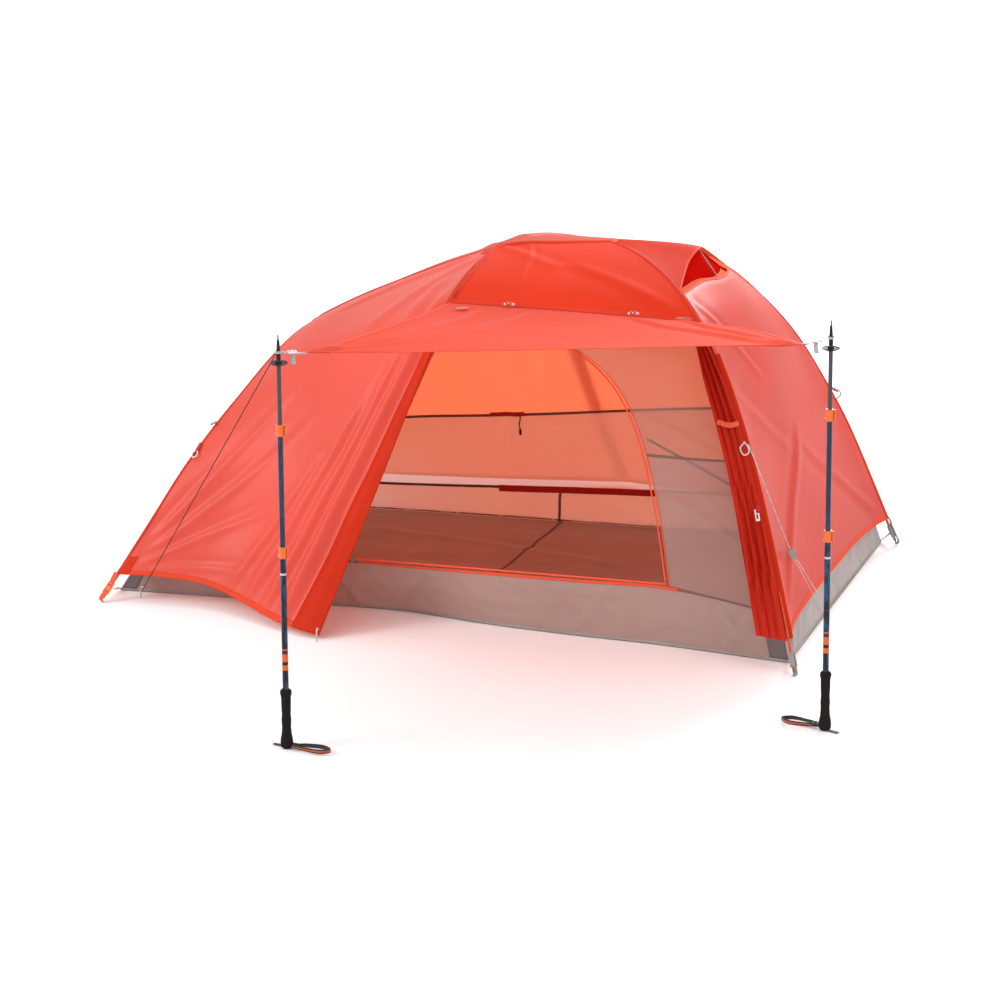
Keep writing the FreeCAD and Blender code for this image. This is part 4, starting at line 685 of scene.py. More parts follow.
cloth("fly_side_near_cloth", net(side_near, 170, 170), M["fly"], ["fly_side_near"])
cloth("fly_far_left_cloth", net(far_left, 120, 120), M["fly_far"], ["fly_far_left"])
cloth("fly_far_right_cloth", net(far_right, 120, 120), M["fly_far"], ["fly_far_right"])
cloth("fly_roof_near_cloth", net(roof, 110, 90), M["fly_deep"], ["fly_roof_near"])
cloth("fly_head_end_cloth", net(head_end, 120, 140), M["fly_head"], ["fly_head_end"])
cloth("vent_hood_cloth", net(hood, 70, 60), M["fly_awn"], ["vent_hood"])
cloth("fly_foot_end_cloth", net(foot_end, 100, 100), M["fly"], ["fly_foot_end"])
cloth("fly_awning_cloth", net(awning, 150, 150), M["fly_awn"], ["fly_awning"])

# gathered half of the near door: a strip of cloth pulled into deep pleats along the leg
gout = np.concatenate([A((800, -478, 955)), np.array([p + np.array([-0.002, -0.014 - 0.020 * (1 - p[2] / 0.930), 0]) for p in flhn if p[0] > 0.780 and p[2] < 0.930])])
def folds_gather(s, U, V, p):
    ph = 1.1 * np.sin(V * 7.0) + 0.7 * np.sin(V * 15.0 + 1.0) + 0.35 * np.sin(V * 31.0)
    k = np.sin(2 * math.pi * 3.6 * U + ph) + 0.45 * np.sin(2 * math.pi * 7.3 * U - 1.7 * ph + V * 9) + 0.2 * np.sin(2 * math.pi * 13 * U + 4 * V)
    env = 0.45 + 0.55 * np.sin(math.pi * np.clip(U, 0, 1)) ** 0.5
    return 0.008 + 0.0072 * k * env * (0.75 + 0.25 * np.sin(V * 11)) + 0.002 * noise(p, 22.0)
gather = Panel(np.stack([gatherin[0], gout[0]]), np.stack([gatherin[-1], gout[-1]]), gatherin, gout, ref=(0, -1, 0), folds=folds_gather)
# the gathered door uses the darker, painted-shade copy of the fly fabric
cloth("fly_gathered_door_cloth", net(gather, 110, 220), M["fly_door"], ["fly_gathered_door"])

# seams, hems and bindings sewn on the fly
Rr = (0.0, 1.0)
tape("seam_ridge_left", side_near, M["fly_tape"], 0.0, 1.0, 0.0, 0.012)
tape("seam_ridge_left_far", far_left, M["fly_tape"], 0.0, 1.0, 0.0, 0.012)
tape("seam_ridge_right", roof, M["fly_tape"], 0.0, 1.0, 0.0, 0.022)
tape("seam_ridge_right_far", far_right, M["fly_tape"], 0.0, 1.0, 0.0, 0.010)
tape("seam_awning", roof, M["fly_tape"], 0.0, 1.0, 0.972, 1.0)
tape("seam_brow", roof, M["fly_tape"], 0.0, 0.018, 0.0, 1.0)
tape("seam_leg_roof", roof, M["fly_tape"], 0.982, 1.0, 0.0, 1.0)
tape("seam_foot_near", side_near, M["fly_tape"], 0.0, 0.012, 0.0, 1.0)
tape("seam_foot_far", far_left, M["fly_tape"], 0.0, 0.012, 0.0, 1.0)
tape("seam_head_near", head_end, M["fly_tape"], 0.0, 0.012, 0.0, 1.0)
tape("seam_head_far", head_end, M["fly_tape"], 0.988, 1.0, 0.0, 1.0)
tape("hem_near", side_near, M["hem"], 0.0, 1.0, 0.986, 1.0, n=160)
tape("hem_far_left", far_left, M["hem"], 0.0, 1.0, 0.988, 1.0, n=120)
tape("hem_far_right", far_right, M["hem"], 0.0, 1.0, 0.988, 1.0, n=120)
tape("hem_head", head_end, M["hem"], 0.0, 1.0, 0.986, 1.0, n=120)
tape("hem_foot", foot_end, M["hem"], 0.0, 1.0, 0.984, 1.0, n=100)
tape("hem_awning_front", awning, M["hem"], 0.0, 1.0, 0.988, 1.0, n=150)
tape("hem_awning_left", awning, M["hem"], 0.0, 0.010, 0.0, 1.0, n=150)
tape("hem_awning_right", awning, M["hem"], 0.990, 1.0, 0.0, 1.0, n=150)
tape("hem_vent", hood, M["hem"], 0.0, 1.0, 0.972, 1.0, n=70)
tape("hem_lip", head_end, M["hem"], 0.0, 1.0, 0.0, 0.010, n=70)
tape("flap_binding", side_near, M["hem"], 0.988, 1.0, 0.0, 1.0, n=170)
vs_ = np.linspace(0.03, 1.0, 170)
wf_ = 0.010 + 0.128 * vs_ ** 1.3
Uf = 1.0 - wf_[None, :] * np.linspace(1, 0, 16)[:, None]
Vf = np.repeat(vs_[None, :], 16, 0)
roll_ = 0.0022 + 0.006 * np.sin(math.pi * np.linspace(0, 1, 16))[:, None] * (0.3 + 0.7 * vs_)[None, :] + 0.0016 * np.sin(vs_ * 60)[None, :] * np.sin(math.pi * np.linspace(0, 1, 16))[:, None]
# the storm flap strip uses the darker, painted-shade copy of the fly fabric
skin("storm_flap_strip", side_near.at(Uf, Vf, 0.0) + side_near.normal(Uf, Vf) * roll_[..., None], side_near.at(Uf, Vf, 0.0) + side_near.normal(Uf, Vf) * (roll_ - 0.0014)[..., None], M["fly_flap"])

he_ = hn[hn[:, 2] < 0.97] + A((-6, -9, 0))
# the edge strip uses the darker, painted-shade copy of the fly fabric
ribbon("head_edge_strip", he_, 0.036, (0.30, -0.93, 0.2), M["fly_flap"], thick=0.0016, n=110)
vent_screen = Panel(hoodfront + A((-30, 0, -8)), lip + A((-34, 0, 4)), np.stack([hoodfront[0], lip[0]]) + A((-22, 6, 0)), np.stack([hoodfront[-1], lip[-1]]) + A((-22, -6, 0)), ref=(1, 0, 0.3), folds=folds_soft(8.0, 0.001))
skin("vent_screen", net(vent_screen, 40, 20), net(vent_screen, 40, 20, lift=-0.0012), M["vent_mesh_painted_shade"])

# ---------------------------------------------------------------- the inner tent
hx = fx = 1120
hw, fw, bh, bhh, bhf = 660, 535, 165, 146, 112
ir = np.concatenate([outward(RIDGE[:5], IG), V3(-14, 0, 1034)])
ir2 = np.concatenate([V3(-14, 0, 1034), outward(RIDGE[6:], IG)])
ifn = np.concatenate([outward(LFN[:-2], IG), V3(-fx + 62, -fw + 34, bhf)])
iff = mirror(ifn)
ihn = np.concatenate([outward(LHN[:-2], IG), V3(hx - 36, -hw + 30, bhh)])
ihf = np.concatenate([outward(LHF[:-2], IG), V3(hx - 36, hw - 44, bhh)])
up3 = V3(0, 0, 3)
th = threshold
door_r = np.concatenate([V3(-30, -428, 952), V3(110, -434, 946), doorzip[2:-1] + A((6, 0, 4)), th[-1:] + A((5, 0, 4))])
in_near = Panel(ir, np.concatenate([ifn[-1:] + up3, V3(-700, -532, bh - 9), doorleft[-1:] + up3]), ifn,
                np.concatenate([ir[-1:], V3(-18, -220, 1008), V3(-26, -424, 958), doorleft[1:]]), folds=folds_soft(11.0, 0.003, [(0.1, 0.9, 0.8, 0.5, 0.02, 0.005)]))
fmv = np.concatenate([farmid[:-1], V3(-100, 577, 122)])
in_farl = Panel(ir, np.concatenate([iff[-1:] + up3, V3(-600, 562, 105), fmv[-1:] + up3]), iff, np.concatenate([ir[-1:], V3(-18, 220, 1008), fmv]),
                folds=folds_soft(12.0, 0.003, [(0.2, 0.55, 0.95, 0.62, 0.03, 0.006), (0.3, 0.75, 0.98, 0.80, 0.03, 0.006), (0.9, 0.5, 0.95, 0.95, 0.02, 0.005)]))
in_farr = Panel(ir2, np.concatenate([fmv[-1:] + up3, V3(500, 600, 146), ihf[-1:] + up3]), np.concatenate([ir[-1:], V3(-18, 220, 1008), fmv]), ihf,
                folds=folds_soft(13.0, 0.003, [(0.02, 0.62, 0.6, 0.58, 0.03, 0.006), (0.02, 0.82, 0.7, 0.75, 0.03, 0.006)]))
itop = A((-26,-424,958),(180,-432,962),(390,-434,962),(580,-425,955),(742,-402,946))
ileg = np.concatenate([ihn[ihn[:, 0] < 0.700], itop[-1:]])
in_roof = Panel(ir2, itop, np.concatenate([ir[-1:], V3(-18, -220, 1008), V3(-26, -424, 958)]), ileg, folds=folds_soft(14.0, 0.002))
zr = np.concatenate([itop[-1:] + A((2, -2, -6)), ihn[ihn[:, 2] < 0.930]])
in_right = Panel(np.concatenate([V3(-30, -428, 952), A((180,-434,954),(390,-438,953),(580,-428,946)), zr[:1]]), np.concatenate([th[-1:] + A((5, 0, 4)), zr[-1:] + up3]), door_r, zr,
                 folds=folds_soft(15.0, 0.0025, [(0.03, 0.55, 0.95, 0.5, 0.02, 0.004), (0.03, 0.75, 0.9, 0.8, 0.02, 0.004)]))
in_head = Panel(np.concatenate([cr(ihn, t0) + A((3, 0, 0)), (cr(ihn, t0) + cr(ihf, t0)) / 2 + A((4, 0, 0)), cr(ihf, t0) + A((3, 0, 0))]),
                np.concatenate([ihn[-1:] + up3, V3(hx - 42, 0, bhh + 3), ihf[-1:] + up3]), sub(ihn, .04, 1, 11), sub(ihf, .04, 1, 11), bulge=(-34, 0, -8), ref=(1, 0, 0.3), folds=folds_soft(16.0, 0.002))
in_foot = Panel(np.concatenate([cr(ifn, t0), (cr(ifn, t0) + cr(iff, t0)) / 2, cr(iff, t0)]),
                np.concatenate([ifn[-1:] + up3, V3(-fx + 66, 0, bhf + 3), iff[-1:] + up3]), sub(ifn, .04, 1, 9), sub(iff, .04, 1, 9), bulge=(34, 0, -8), ref=(-1, 0, 0.4), folds=folds_soft(17.0, 0.002))

ZS = lambda x: 0.405 + 0.0 * x
ZF = lambda x: 0.347 + 0.105 * (x + 0.466)
def two_part(name, pan, node, nu, nv, zs=ZS, tops="mesh", lows="solid"):
    us = np.linspace(0, 1, nu)
    v = split_at(pan, zs, us)
    v = np.clip(v, 0.02, 0.985)
    cloth(name + "_mesh", net(pan, nu, nv, v1=v), M[tops], [node])
    cloth(name + "_panel", net(pan, nu, nv // 2, v0=v), M[lows], [node])
    n = nu
    U = np.repeat(us[:, None], 5, 1)
    Vv = v[:, None] + np.linspace(-0.002, 0.0055, 5)[None]
    skin(name + "_seam", pan.at(U, np.clip(Vv, 0, 1), 0.0012), pan.at(U, np.clip(Vv, 0, 1), -0.0008), M["seam_dark"])
    return v
v_near = two_part("inner_near", in_near, "inner_side_near", 100, 90)
v_farl = two_part("inner_far_left", in_farl, "inner_far_left", 100, 90, zs=ZF, tops="mesh_far_painted_light", lows="solid_far_painted_light")
v_farr = two_part("inner_far_right", in_farr, "inner_far_right", 100, 90, zs=ZF, tops="mesh_far_painted_light", lows="solid_far_painted_light")
v_head = two_part("inner_head", in_head, "inner_head_end", 90, 90)
v_foot = two_part("inner_foot", in_foot, "inner_foot_end", 80, 80)
v_right = two_part("inner_door_side", in_right, "inner_side_near_right", 100, 130, zs=lambda x: 0.585 + 0.03 * (x - 0.7), tops="mesh_near_painted_shade", lows="solid_near_painted_shade")
cloth("inner_roof_near_mesh", net(in_roof, 80, 70), M["mesh"], ["inner_roof_near"])

tape("inner_ridge_tape", in_farl, M["seam_dark"], 0.0, 1.0, 0.0, 0.012)
tape("inner_ridge_tape_right", in_farr, M["seam_dark"], 0.0, 1.0, 0.0, 0.010)
tape("inner_roof_tape", in_roof, M["seam_dark"], 0.0, 1.0, 0.965, 1.0)
tape("door_tape_right", in_right, M["zip_tape"], 0.0, 0.009, 0.0, 1.0, lift=0.002, n=160)
tape("door_tape_left", in_near, M["zip_tape"], 0.984, 1.0, 0.30, 1.0, lift=0.002, n=120)
tape("inner_leg_tape", in_right, M["seam_dark"], 0.985, 1.0, 0.0, 1.0)
tape("inner_head_tape", in_head, M["seam_dark"], 0.0, 0.010, 0.0, 1.0)

# bathtub walls and floor
fnz = floornear + V3(0, 0, 2.6)
bt_top = np.concatenate([ifn[-1:], V3(-700, -532, bh - 12), th[:1], th[:1] * .75 + th[1:] * .25, (th[:1] + th[1:]) / 2, th[:1] * .25 + th[1:] * .75, th[1:], ihn[-1:]])
def folds_bath(s, U, V, p):
    r = smooth(V, 0, 0.12) * smooth(1 - V, 0, 0.10) * smooth(U, 0, 0.01) * smooth(1 - U, 0, 0.01)
    d = 0.0035 * noise(p, 16.0) + 0.003 * noise(p + 4.0, 34.0)
    for k, (u, w) in enumerate(((0.07, 0.05), (0.12, 0.06), (0.36, 0.03), (0.42, 0.05), (0.56, 0.04), (0.68, 0.05), (0.8, 0.03), (0.9, 0.06), (0.95, 0.04))):
        d = d + crease(s, U, V, u, 1.0, u + (0.06 if k % 2 else -0.05), 0.05, 0.012, 0.005, fade=0.5)
    return d * r
bath_near = Panel(bt_top, fnz, np.stack([ifn[-1], fnz[0]]), np.stack([ihn[-1], fnz[-1]]), ref=(0, -1, 0), folds=folds_bath)
farline = A((-fx, fw, 0), (-430, 585, 0), (340, 610, 0), (hx, hw, 0)) + V3(0, 0, 2.6)
bath_far = Panel(np.concatenate([iff[-1:], V3(-600, 562, 102), V3(-100, 577, 122), V3(500, 600, 143), ihf[-1:]]), farline, np.stack([iff[-1], farline[0]]), np.stack([ihf[-1], farline[-1]]), ref=(0, 1, 0), folds=folds_bath)
bath_head = Panel(np.concatenate([ihn[-1:], V3(hx - 42, 0, bhh), ihf[-1:]]), np.concatenate([fnz[-1:], V3(hx - 8, 0, 2.6), farline[-1:]]), np.stack([ihn[-1], fnz[-1]]), np.stack([ihf[-1], farline[-1]]), ref=(1, 0, 0), folds=folds_bath)
bath_foot = Panel(np.concatenate([ifn[-1:], V3(-fx + 66, 0, bhf), iff[-1:]]), np.concatenate([fnz[:1], V3(-fx + 6, 0, 2.6), farline[:1]]), np.stack([ifn[-1], fnz[0]]), np.stack([iff[-1], farline[0]]), ref=(-1, 0, 0), folds=folds_bath)
cloth("bathtub_near_cloth", net(bath_near, 260, 30), M["bath_near"], ["bathtub_near"])
cloth("bathtub_far_cloth", net(bath_far, 160, 24), M["grey_far"], ["bathtub_far"])
cloth("bathtub_head_cloth", net(bath_head, 100, 24), M["grey"], ["bathtub_ends"])
cloth("bathtub_foot_cloth", net(bath_foot, 100, 24), M["grey"], ["bathtub_ends"])
for nm_, pn in (("near", bath_near), ("far", bath_far), ("head", bath_head), ("foot", bath_foot)):
    tape("bathtub_rim_" + nm_, pn, M["seam_dark"], 0.0, 1.0, 0.0, 0.05 if nm_ != "near" else 0.045, n=120)
    tape("bathtub_floor_seam_" + nm_, pn, M["grey_tape"], 0.0, 1.0, 0.95, 1.0, n=120)

def floor_folds(s, U, V, p):
    r = rim(U, V, 0.03, 0.05)
    d = 0.0035 + 0.003 * noise(p, 9.0) + 0.0025 * noise(p + 3.0, 21.0)
    d = d + crease(s, U, V, 0.2, 0.2, 0.7, 0.4, 0.03, 0.005) + crease(s, U, V, 0.3, 0.8, 0.75, 0.62, 0.03, 0.005) + crease(s, U, V, 0.1, 0.6, 0.5, 0.52, 0.025, 0.004)
    return np.clip(d, 0.0005, 0.012) * r
floor_pan = Panel(farline - V3(0, 0, 1.2), fnz - V3(0, 0, 1.2), np.stack([farline[0], fnz[0]]) - V3(0, 0, 1.2), np.stack([farline[-1], fnz[-1]]) - V3(0, 0, 1.2), ref=(0, 0, 1), folds=floor_folds)
cloth("floor_cloth", net(floor_pan, 200, 130), M["floor"], ["floor_sheet"])
vs_ = np.linspace(0, 1, 90)
us_ = 0.512 - 0.040 * vs_ ** 1.7
Uc = us_[None, :] + np.array([-0.0022, 0.0, 0.0022])[:, None]
Vc = np.repeat(vs_[None, :], 3, 0)
skin("floor_cross_seam", floor_pan.at(Uc, Vc, 0.0016), floor_pan.at(Uc, Vc, 0.0004), M["seam_dark"])
tape("bathtub_far_seam", bath_far, M["seam_dark"], 0.5065, 0.5105, 0.0, 1.0, lift=-0.002, n=40)
tape("bathtub_near_seam", bath_near, M["grey_tape"], 0.312, 0.3165, 0.0, 1.0, lift=0.002, n=40)

# near door, rolled up along the left side of the doorway: one spiral of cloth
def rolled(name, pts, r, turns, mat, n=90, m=120):
    C = cr(pts, np.linspace(0, 1, n))
    T = np.gradient(C, axis=0)
    T /= np.linalg.norm(T, axis=1)[:, None]
    X = np.zeros_like(C)
    x = np.array([0.2, -1.0, 0.1])
    for i in range(n):
        x = x - T[i] * (x @ T[i])
        x /= np.linalg.norm(x)
        X[i] = x
    Y = np.cross(T, X)
    th_ = np.linspace(0.0, 2 * math.pi * turns, m)
    out = np.zeros((n, m, 3))
    for i in range(n):
        t = i / (n - 1)
        tie = 1 - 0.30 * (math.exp(-((t - 0.28) / 0.035) ** 2) + math.exp(-((t - 0.74) / 0.035) ** 2)) - 0.22 * math.exp(-(t / 0.05) ** 2) - 0.15 * math.exp(-((1 - t) / 0.05) ** 2)
        rr = (0.22 + 0.74 * th_ / th_[-1]) * r * tie * (1 + 0.06 * np.sin(th_ * 2 + 7 * t) + 0.05 * np.sin(th_ * 3.1 - 17 * t) + 0.04 * np.sin(40 * t + th_))
        out[i] = C[i] + X[i] * (rr * np.cos(th_))[:, None] + Y[i] * (rr * np.sin(th_))[:, None]
    return out
rl = doorleft + A((-40, 56, 14))
rl[0] = V3(-92, -372, 880)[0]
# the roll uses the darker, painted-shade copy of the inner ripstop
cloth("inner_door_roll", rolled("roll", rl, 0.030, 4.2, M["solid"]), M["solid_roll"], ["inner_door_rolled"])
ties = []
for k, t in enumerate((0.28, 0.74)):
    c = cr(rl, np.array([t]))[0]
    d = cr(rl, np.array([t + 0.01]))[0] - cr(rl, np.array([t - 0.01]))[0]
    d /= np.linalg.norm(d)
    x = np.cross(d, [0, 0, 1.0]); x /= np.linalg.norm(x); y = np.cross(d, x)
    ring = [c + (x * math.cos(a) + y * math.sin(a)) * 0.0235 for a in np.linspace(0, 2 * math.pi * 0.97, 15)]
    nrm = [(x * math.cos(a) + y * math.sin(a)) for a in np.linspace(0, 2 * math.pi * 0.97, 15)]
    ribbon("door_tie_%d" % k, ring, 0.012, np.array(nrm), M["grey_web"], thick=0.0016, n=60)

# ---------------------------------------------------------------- inside fittings
def on(pan, u, v, lift=0.0):
    return pan.at(np.array([[u]]), np.array([[v]]), lift)[0, 0]
def find(pan, target):
    """(u, v) of the panel's point nearest a point in space."""
    g = np.linspace(0, 1, 61)
    U, V = np.meshgrid(g, g, indexing="ij")
    P = pan.base(U, V)
    k = np.unravel_index(np.argmin(np.linalg.norm(P - np.array(target), axis=2)), U.shape)
    return float(U[k]), float(V[k])
def on_line(pan, a, b, n=9, lift=0.004):
    """Points of the panel along the line from one (u, v) to another."""
    return np.array([on(pan, a[0] + (b[0] - a[0]) * t, a[1] + (b[1] - a[1]) * t, lift) for t in np.linspace(0, 1, n)])

# hanging loop on the far wall, and the far door's binding
pan_f = in_farr
uA, uB = (0.02, float(np.interp(0.02, np.linspace(0, 1, 100), v_farr))), (0.14, float(np.interp(0.14, np.linspace(0, 1, 100), v_farr)))
ribbon("far_loop_tab", on_line(in_farl, (0.86, float(np.interp(0.86, np.linspace(0, 1, 100), v_farl)) - 0.004), (1.0, float(np.interp(1.0, np.linspace(0, 1, 100), v_farl)) - 0.004), lift=-0.006), 0.012, (0, -1, 0.2), M["red_web"])
zpull = on(in_farl, 0.985, float(v_farl[-2]), -0.008)
tubing("far_zip_cord", [zpull, zpull + (0.002, -0.004, -0.012), zpull + (-0.001, -0.006, -0.030), zpull + (0.003, -0.006, -0.048)], 0.0022, M["dark_web"])
moulded("far_zip_pull", zpull + (0.003, -0.006, -0.056), (0.05, 0, -1), (0, -1, 0), (0.020, 0.008, 0.004), M["black"])
rf = [on(bath_far, t, 0.06, -0.006) for t in np.linspace(0.409, 0.672, 14)]
ribbon("far_door_binding", rf, 0.022, (0, -1, 0.15), M["red_web"], thick=0.002)
rd = [on(bath_far, t, 0.03, -0.006) for t in np.linspace(0.17, 0.409, 12)]
ribbon("far_sill_binding", rd, 0.006, (0, -1, 0.15), M["dark_tape"], thick=0.0016)

# pocket on the near wall panel by the door
zk = [find(in_right, (0.70, -0.56, 0.30)), find(in_right, (1.00, -0.60, 0.30))]
pk = on_line(in_right, (0.06, 0.62), (0.92, 0.60), 12, lift=-0.004)
ribbon("pocket_edge", pk, 0.008, (0, -1, 0.1), M["seam_dark"], thick=0.0016)

# ---------------------------------------------------------------- toggles, loops and tabs on the fly
def toggle(name, c, ax, L, r, mat):
    c, ax = np.array(c), np.array(ax, float)
    ax /= np.linalg.norm(ax)
    pts = [c + ax * L * t for t in np.linspace(-0.5, 0.5, 11)]
    return tubing(name, pts, [r * 0.25, r * 0.75, r * 0.98, r, r * 0.9, r * 0.72, r * 0.9, r, r * 0.98, r * 0.75, r * 0.25], mat, n=33, k=16)
tog = []
for k, x in enumerate((0.187, 0.583)):
    y, z = (-0.500, 1.024) if x < 0.3 else (-0.502, 1.021)
    t = toggle("door_toggle_%d" % k, (x, y - 0.001, z), (1, 0, 0.02), 0.036, 0.0048, M["plastic_white"])
    if k == 0:
        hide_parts("door_toggles")
    ribbon("toggle_loop_%d" % k, [(x - 0.006, y + 0.010, z + 0.004), (x - 0.007, y - 0.008, z + 0.006), (x, y - 0.013, z - 0.001), (x + 0.007, y - 0.008, z + 0.006), (x + 0.006, y + 0.010, z + 0.004)], 0.006, (0, -0.3, 1), M["red_web"])
    ribbon("tie_tab_%d" % k, [on(awning, (0.105, 0.865)[k], 0.10, 0.005), on(awning, (0.090, 0.885)[k], 0.125, 0.007), on(awning, (0.070, 0.905)[k], 0.145, 0.005)], 0.016, (0, -0.4, 1), M["red_web"])

def guy_tab(name, pan, u, v, mat, loop_mat, sz=1.0):
    """A sewn patch with a webbing loop and a small plastic ring, for a guyline."""
    c, n = on(pan, u, v, 0.003), pan.normal(np.array([[u]]), np.array([[v]]))[0, 0]
    d = np.array([0, 0, -1.0]) - n * (n[2] * -1.0)
    d /= np.linalg.norm(d)
    s = np.cross(n, d)
    ribbon(name + "_tab", [c - d * 0.016 * sz, c + n * 0.002, c + d * 0.016 * sz + n * 0.004], 0.013 * sz, n, mat)
    a = np.linspace(0.3, 2 * math.pi - 0.3, 15)
    ring = [c + d * 0.017 * sz + n * 0.004 + (d * (1 - math.cos(q)) * 0.012 + s * math.sin(q) * 0.010) * sz for q in a]
    tubing(name + "_ring", ring, 0.0022, loop_mat, n=45, k=8)
    return c

vs0, vs1 = np.array((0.719, 0.0, 1.031)), np.array((0.660, 0.0, 1.112))
vst = tubing("vent_strut_rod", [vs0, vs0 + (vs1 - vs0) * 0.03, vs0 + (vs1 - vs0) * 0.97, vs1], [0.0012, 0.0024, 0.0024, 0.0012], M["plastic_grey"], n=20, k=12)
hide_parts("vent_strut")

uvl = find(side_near, (-0.868, -0.428, 0.462))
guy_tab("left_loop", side_near, 0.010, uvl[1], M["red_web"], M["white_web"], 1.0)
uvt = find(side_near, (-0.832, -0.382, 0.520))
tq = on(side_near, 0.004, uvt[1], 0.010)
ttg = toggle("left_toggle", tq, (1, -0.2, 0.5), 0.030, 0.0042, M["plastic_grey"])

# white loop and hook on the gathered door's edge, for its own guyline
gq = on(gather, 0.95, 0.36, 0.010)
tubing("gather_loop", [gq, gq + (0.014, -0.006, -0.012), gq + (0.018, -0.008, -0.030), gq + (0.002, -0.006, -0.040), gq + (-0.010, -0.004, -0.020), gq + (0.0, -0.002, -0.004)], 0.0024, M["white_web"], n=60)
gh = on(gather, 0.80, 0.60, 0.014)
moulded("gather_hook", gh, (0.2, -0.1, -1), (0, -1, 0), (0.036, 0.013, 0.006), M["plastic_white"], holes=((0.004, 0.014, 0.006),))
ribbon("gather_hook_tab", [gh + (0, 0.004, 0.030), gh + (0.002, -0.002, 0.016), gh + (0.003, -0.004, 0.008)], 0.012, (0, -1, 0), M["red_web"])
gd = on(gather, 0.70, 0.86, 0.010)
ribbon("gather_tie", [on(gather, 0.05, 0.30, 0.014), on(gather, 0.5, 0.31, 0.026), on(gather, 0.95, 0.30, 0.014)], 0.016, (0, -1, 0), M["orange_web"], thick=0.0018)

# loop and tab half way down the head end's far edge
hq = on(head_end, 0.995, 0.55, 0.006)
tubing("head_loop", [hq, hq + (0.014, 0.010, 0.002), hq + (0.022, 0.014, -0.014), hq + (0.010, 0.006, -0.026), hq + (0.0, 0.0, -0.016)], 0.0026, M["grey_web"], n=50)
ribbon("head_loop_tab", [hq + (-0.01, 0, 0.010), hq + (0.006, 0.004, 0.004), hq + (0.014, 0.008, -0.004)], 0.014, (1, 0, 0.3), M["red_web"])
guy_tab("side_guy", head_end, *find(head_end, S0), M["fly_tape"], M["plastic_grey"], 0.9)

# small reinforcing patches at the peaks and corners
for nm_, pn, u0, u1, v0, v1 in (("peak_patch", roof, 0.0, 0.07, 0.0, 0.07), ("peak_patch_left", side_near, 0.94, 1.0, 0.0, 0.05), ("corner_patch_left", awning, 0.0, 0.055, 0.93, 1.0),
                                ("corner_patch_right", awning, 0.945, 1.0, 0.93, 1.0), ("corner_patch_flap", side_near, 0.93, 0.998, 0.955, 0.998),
                                ("corner_patch_foot", side_near, 0.0, 0.05, 0.94, 1.0)):
    P_ = net(pn, 14, 14, u0, u1, v0, v1, 0.0016)
    skin(nm_, P_, net(pn, 14, 14, u0, u1, v0, v1, 0.0006), M["fly_tape"])

# ---------------------------------------------------------------- corner straps and buckles
corners = {"head_near": (LHN, hemhead[0], A((hx, -hw, 0))[0], M["grey_web"]), "head_far": (LHF, hemhead[-1], A((hx, hw, 0))[0], M["grey_web"]),
           "foot_near": (LFN, hemnear[0], A((-fx, -fw, 0))[0], M["orange_web"]), "foot_far": (LFF, hemfarl[0], A((-fx, fw, 0))[0], M["orange_web"])}
first = True
for nm_, (pts, fc, cc, wm) in corners.items():
    d = pts[-1] - pts[-2]
    d /= np.linalg.norm(d)
    c = pts[-1] - d * 0.042
    w_ = fc - c
    n = w_ - d * (w_ @ d)
    n /= np.linalg.norm(n)
    s = np.cross(n, d)
    a2 = c - d * 0.020 + n * 0.0085
    o = ribbon("corner_strap_fly_" + nm_, [c + d * 0.014 + n * 0.0085, a2, a2 + (fc - a2) * 0.55 + n * 0.002, fc + (fc - a2) * 0.18], 0.018, n, wm)
    if first:
        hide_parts("webbing_straps")
        first = False
    c0 = cc + (0, 0, 0.009)
    ribbon("corner_strap_floor_" + nm_, [c + (c0 - c) * 0.14, c + (c0 - c) * 0.5 + (0, 0, -0.003), c0], 0.014, (0.1, 0, 1), wm)
    ribbon("corner_loop_" + nm_, [c + d * 0.018 + n * 0.009, c + d * 0.034 + n * 0.011, c + d * 0.046 + n * 0.006, c + d * 0.044 - n * 0.004], 0.016, n, wm, thick=0.002)
    b1 = moulded("corner_buckle_" + nm_, c + n * 0.0072, d, n, (0.040, 0.022, 0.0055), M["plastic_grey"] if wm is M["grey_web"] else M["lock"], holes=((-0.012, 0.006, 0.015), (0.011, 0.007, 0.015)), ribs=3)
    if nm_ == "head_near":
        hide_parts("corner_buckles")
    tubing("corner_sleeve_" + nm_, [c - d * 0.022, c + d * 0.020], [0.0072, 0.0078, 0.0078, 0.0072], M["plastic_grey"], n=24, k=18)
    # dark reinforcing patch of the floor corner
    bp = bath_near if "near" in nm_ else bath_far
    e0, e1 = (0.972, 0.999) if "head" in nm_ else (0.001, 0.022)
    skin("corner_patch_" + nm_, net(bp, 10, 12, e0, e1, 0.1, 0.95, 0.002), net(bp, 10, 12, e0, e1, 0.1, 0.95, 0.0008), M["patch"])

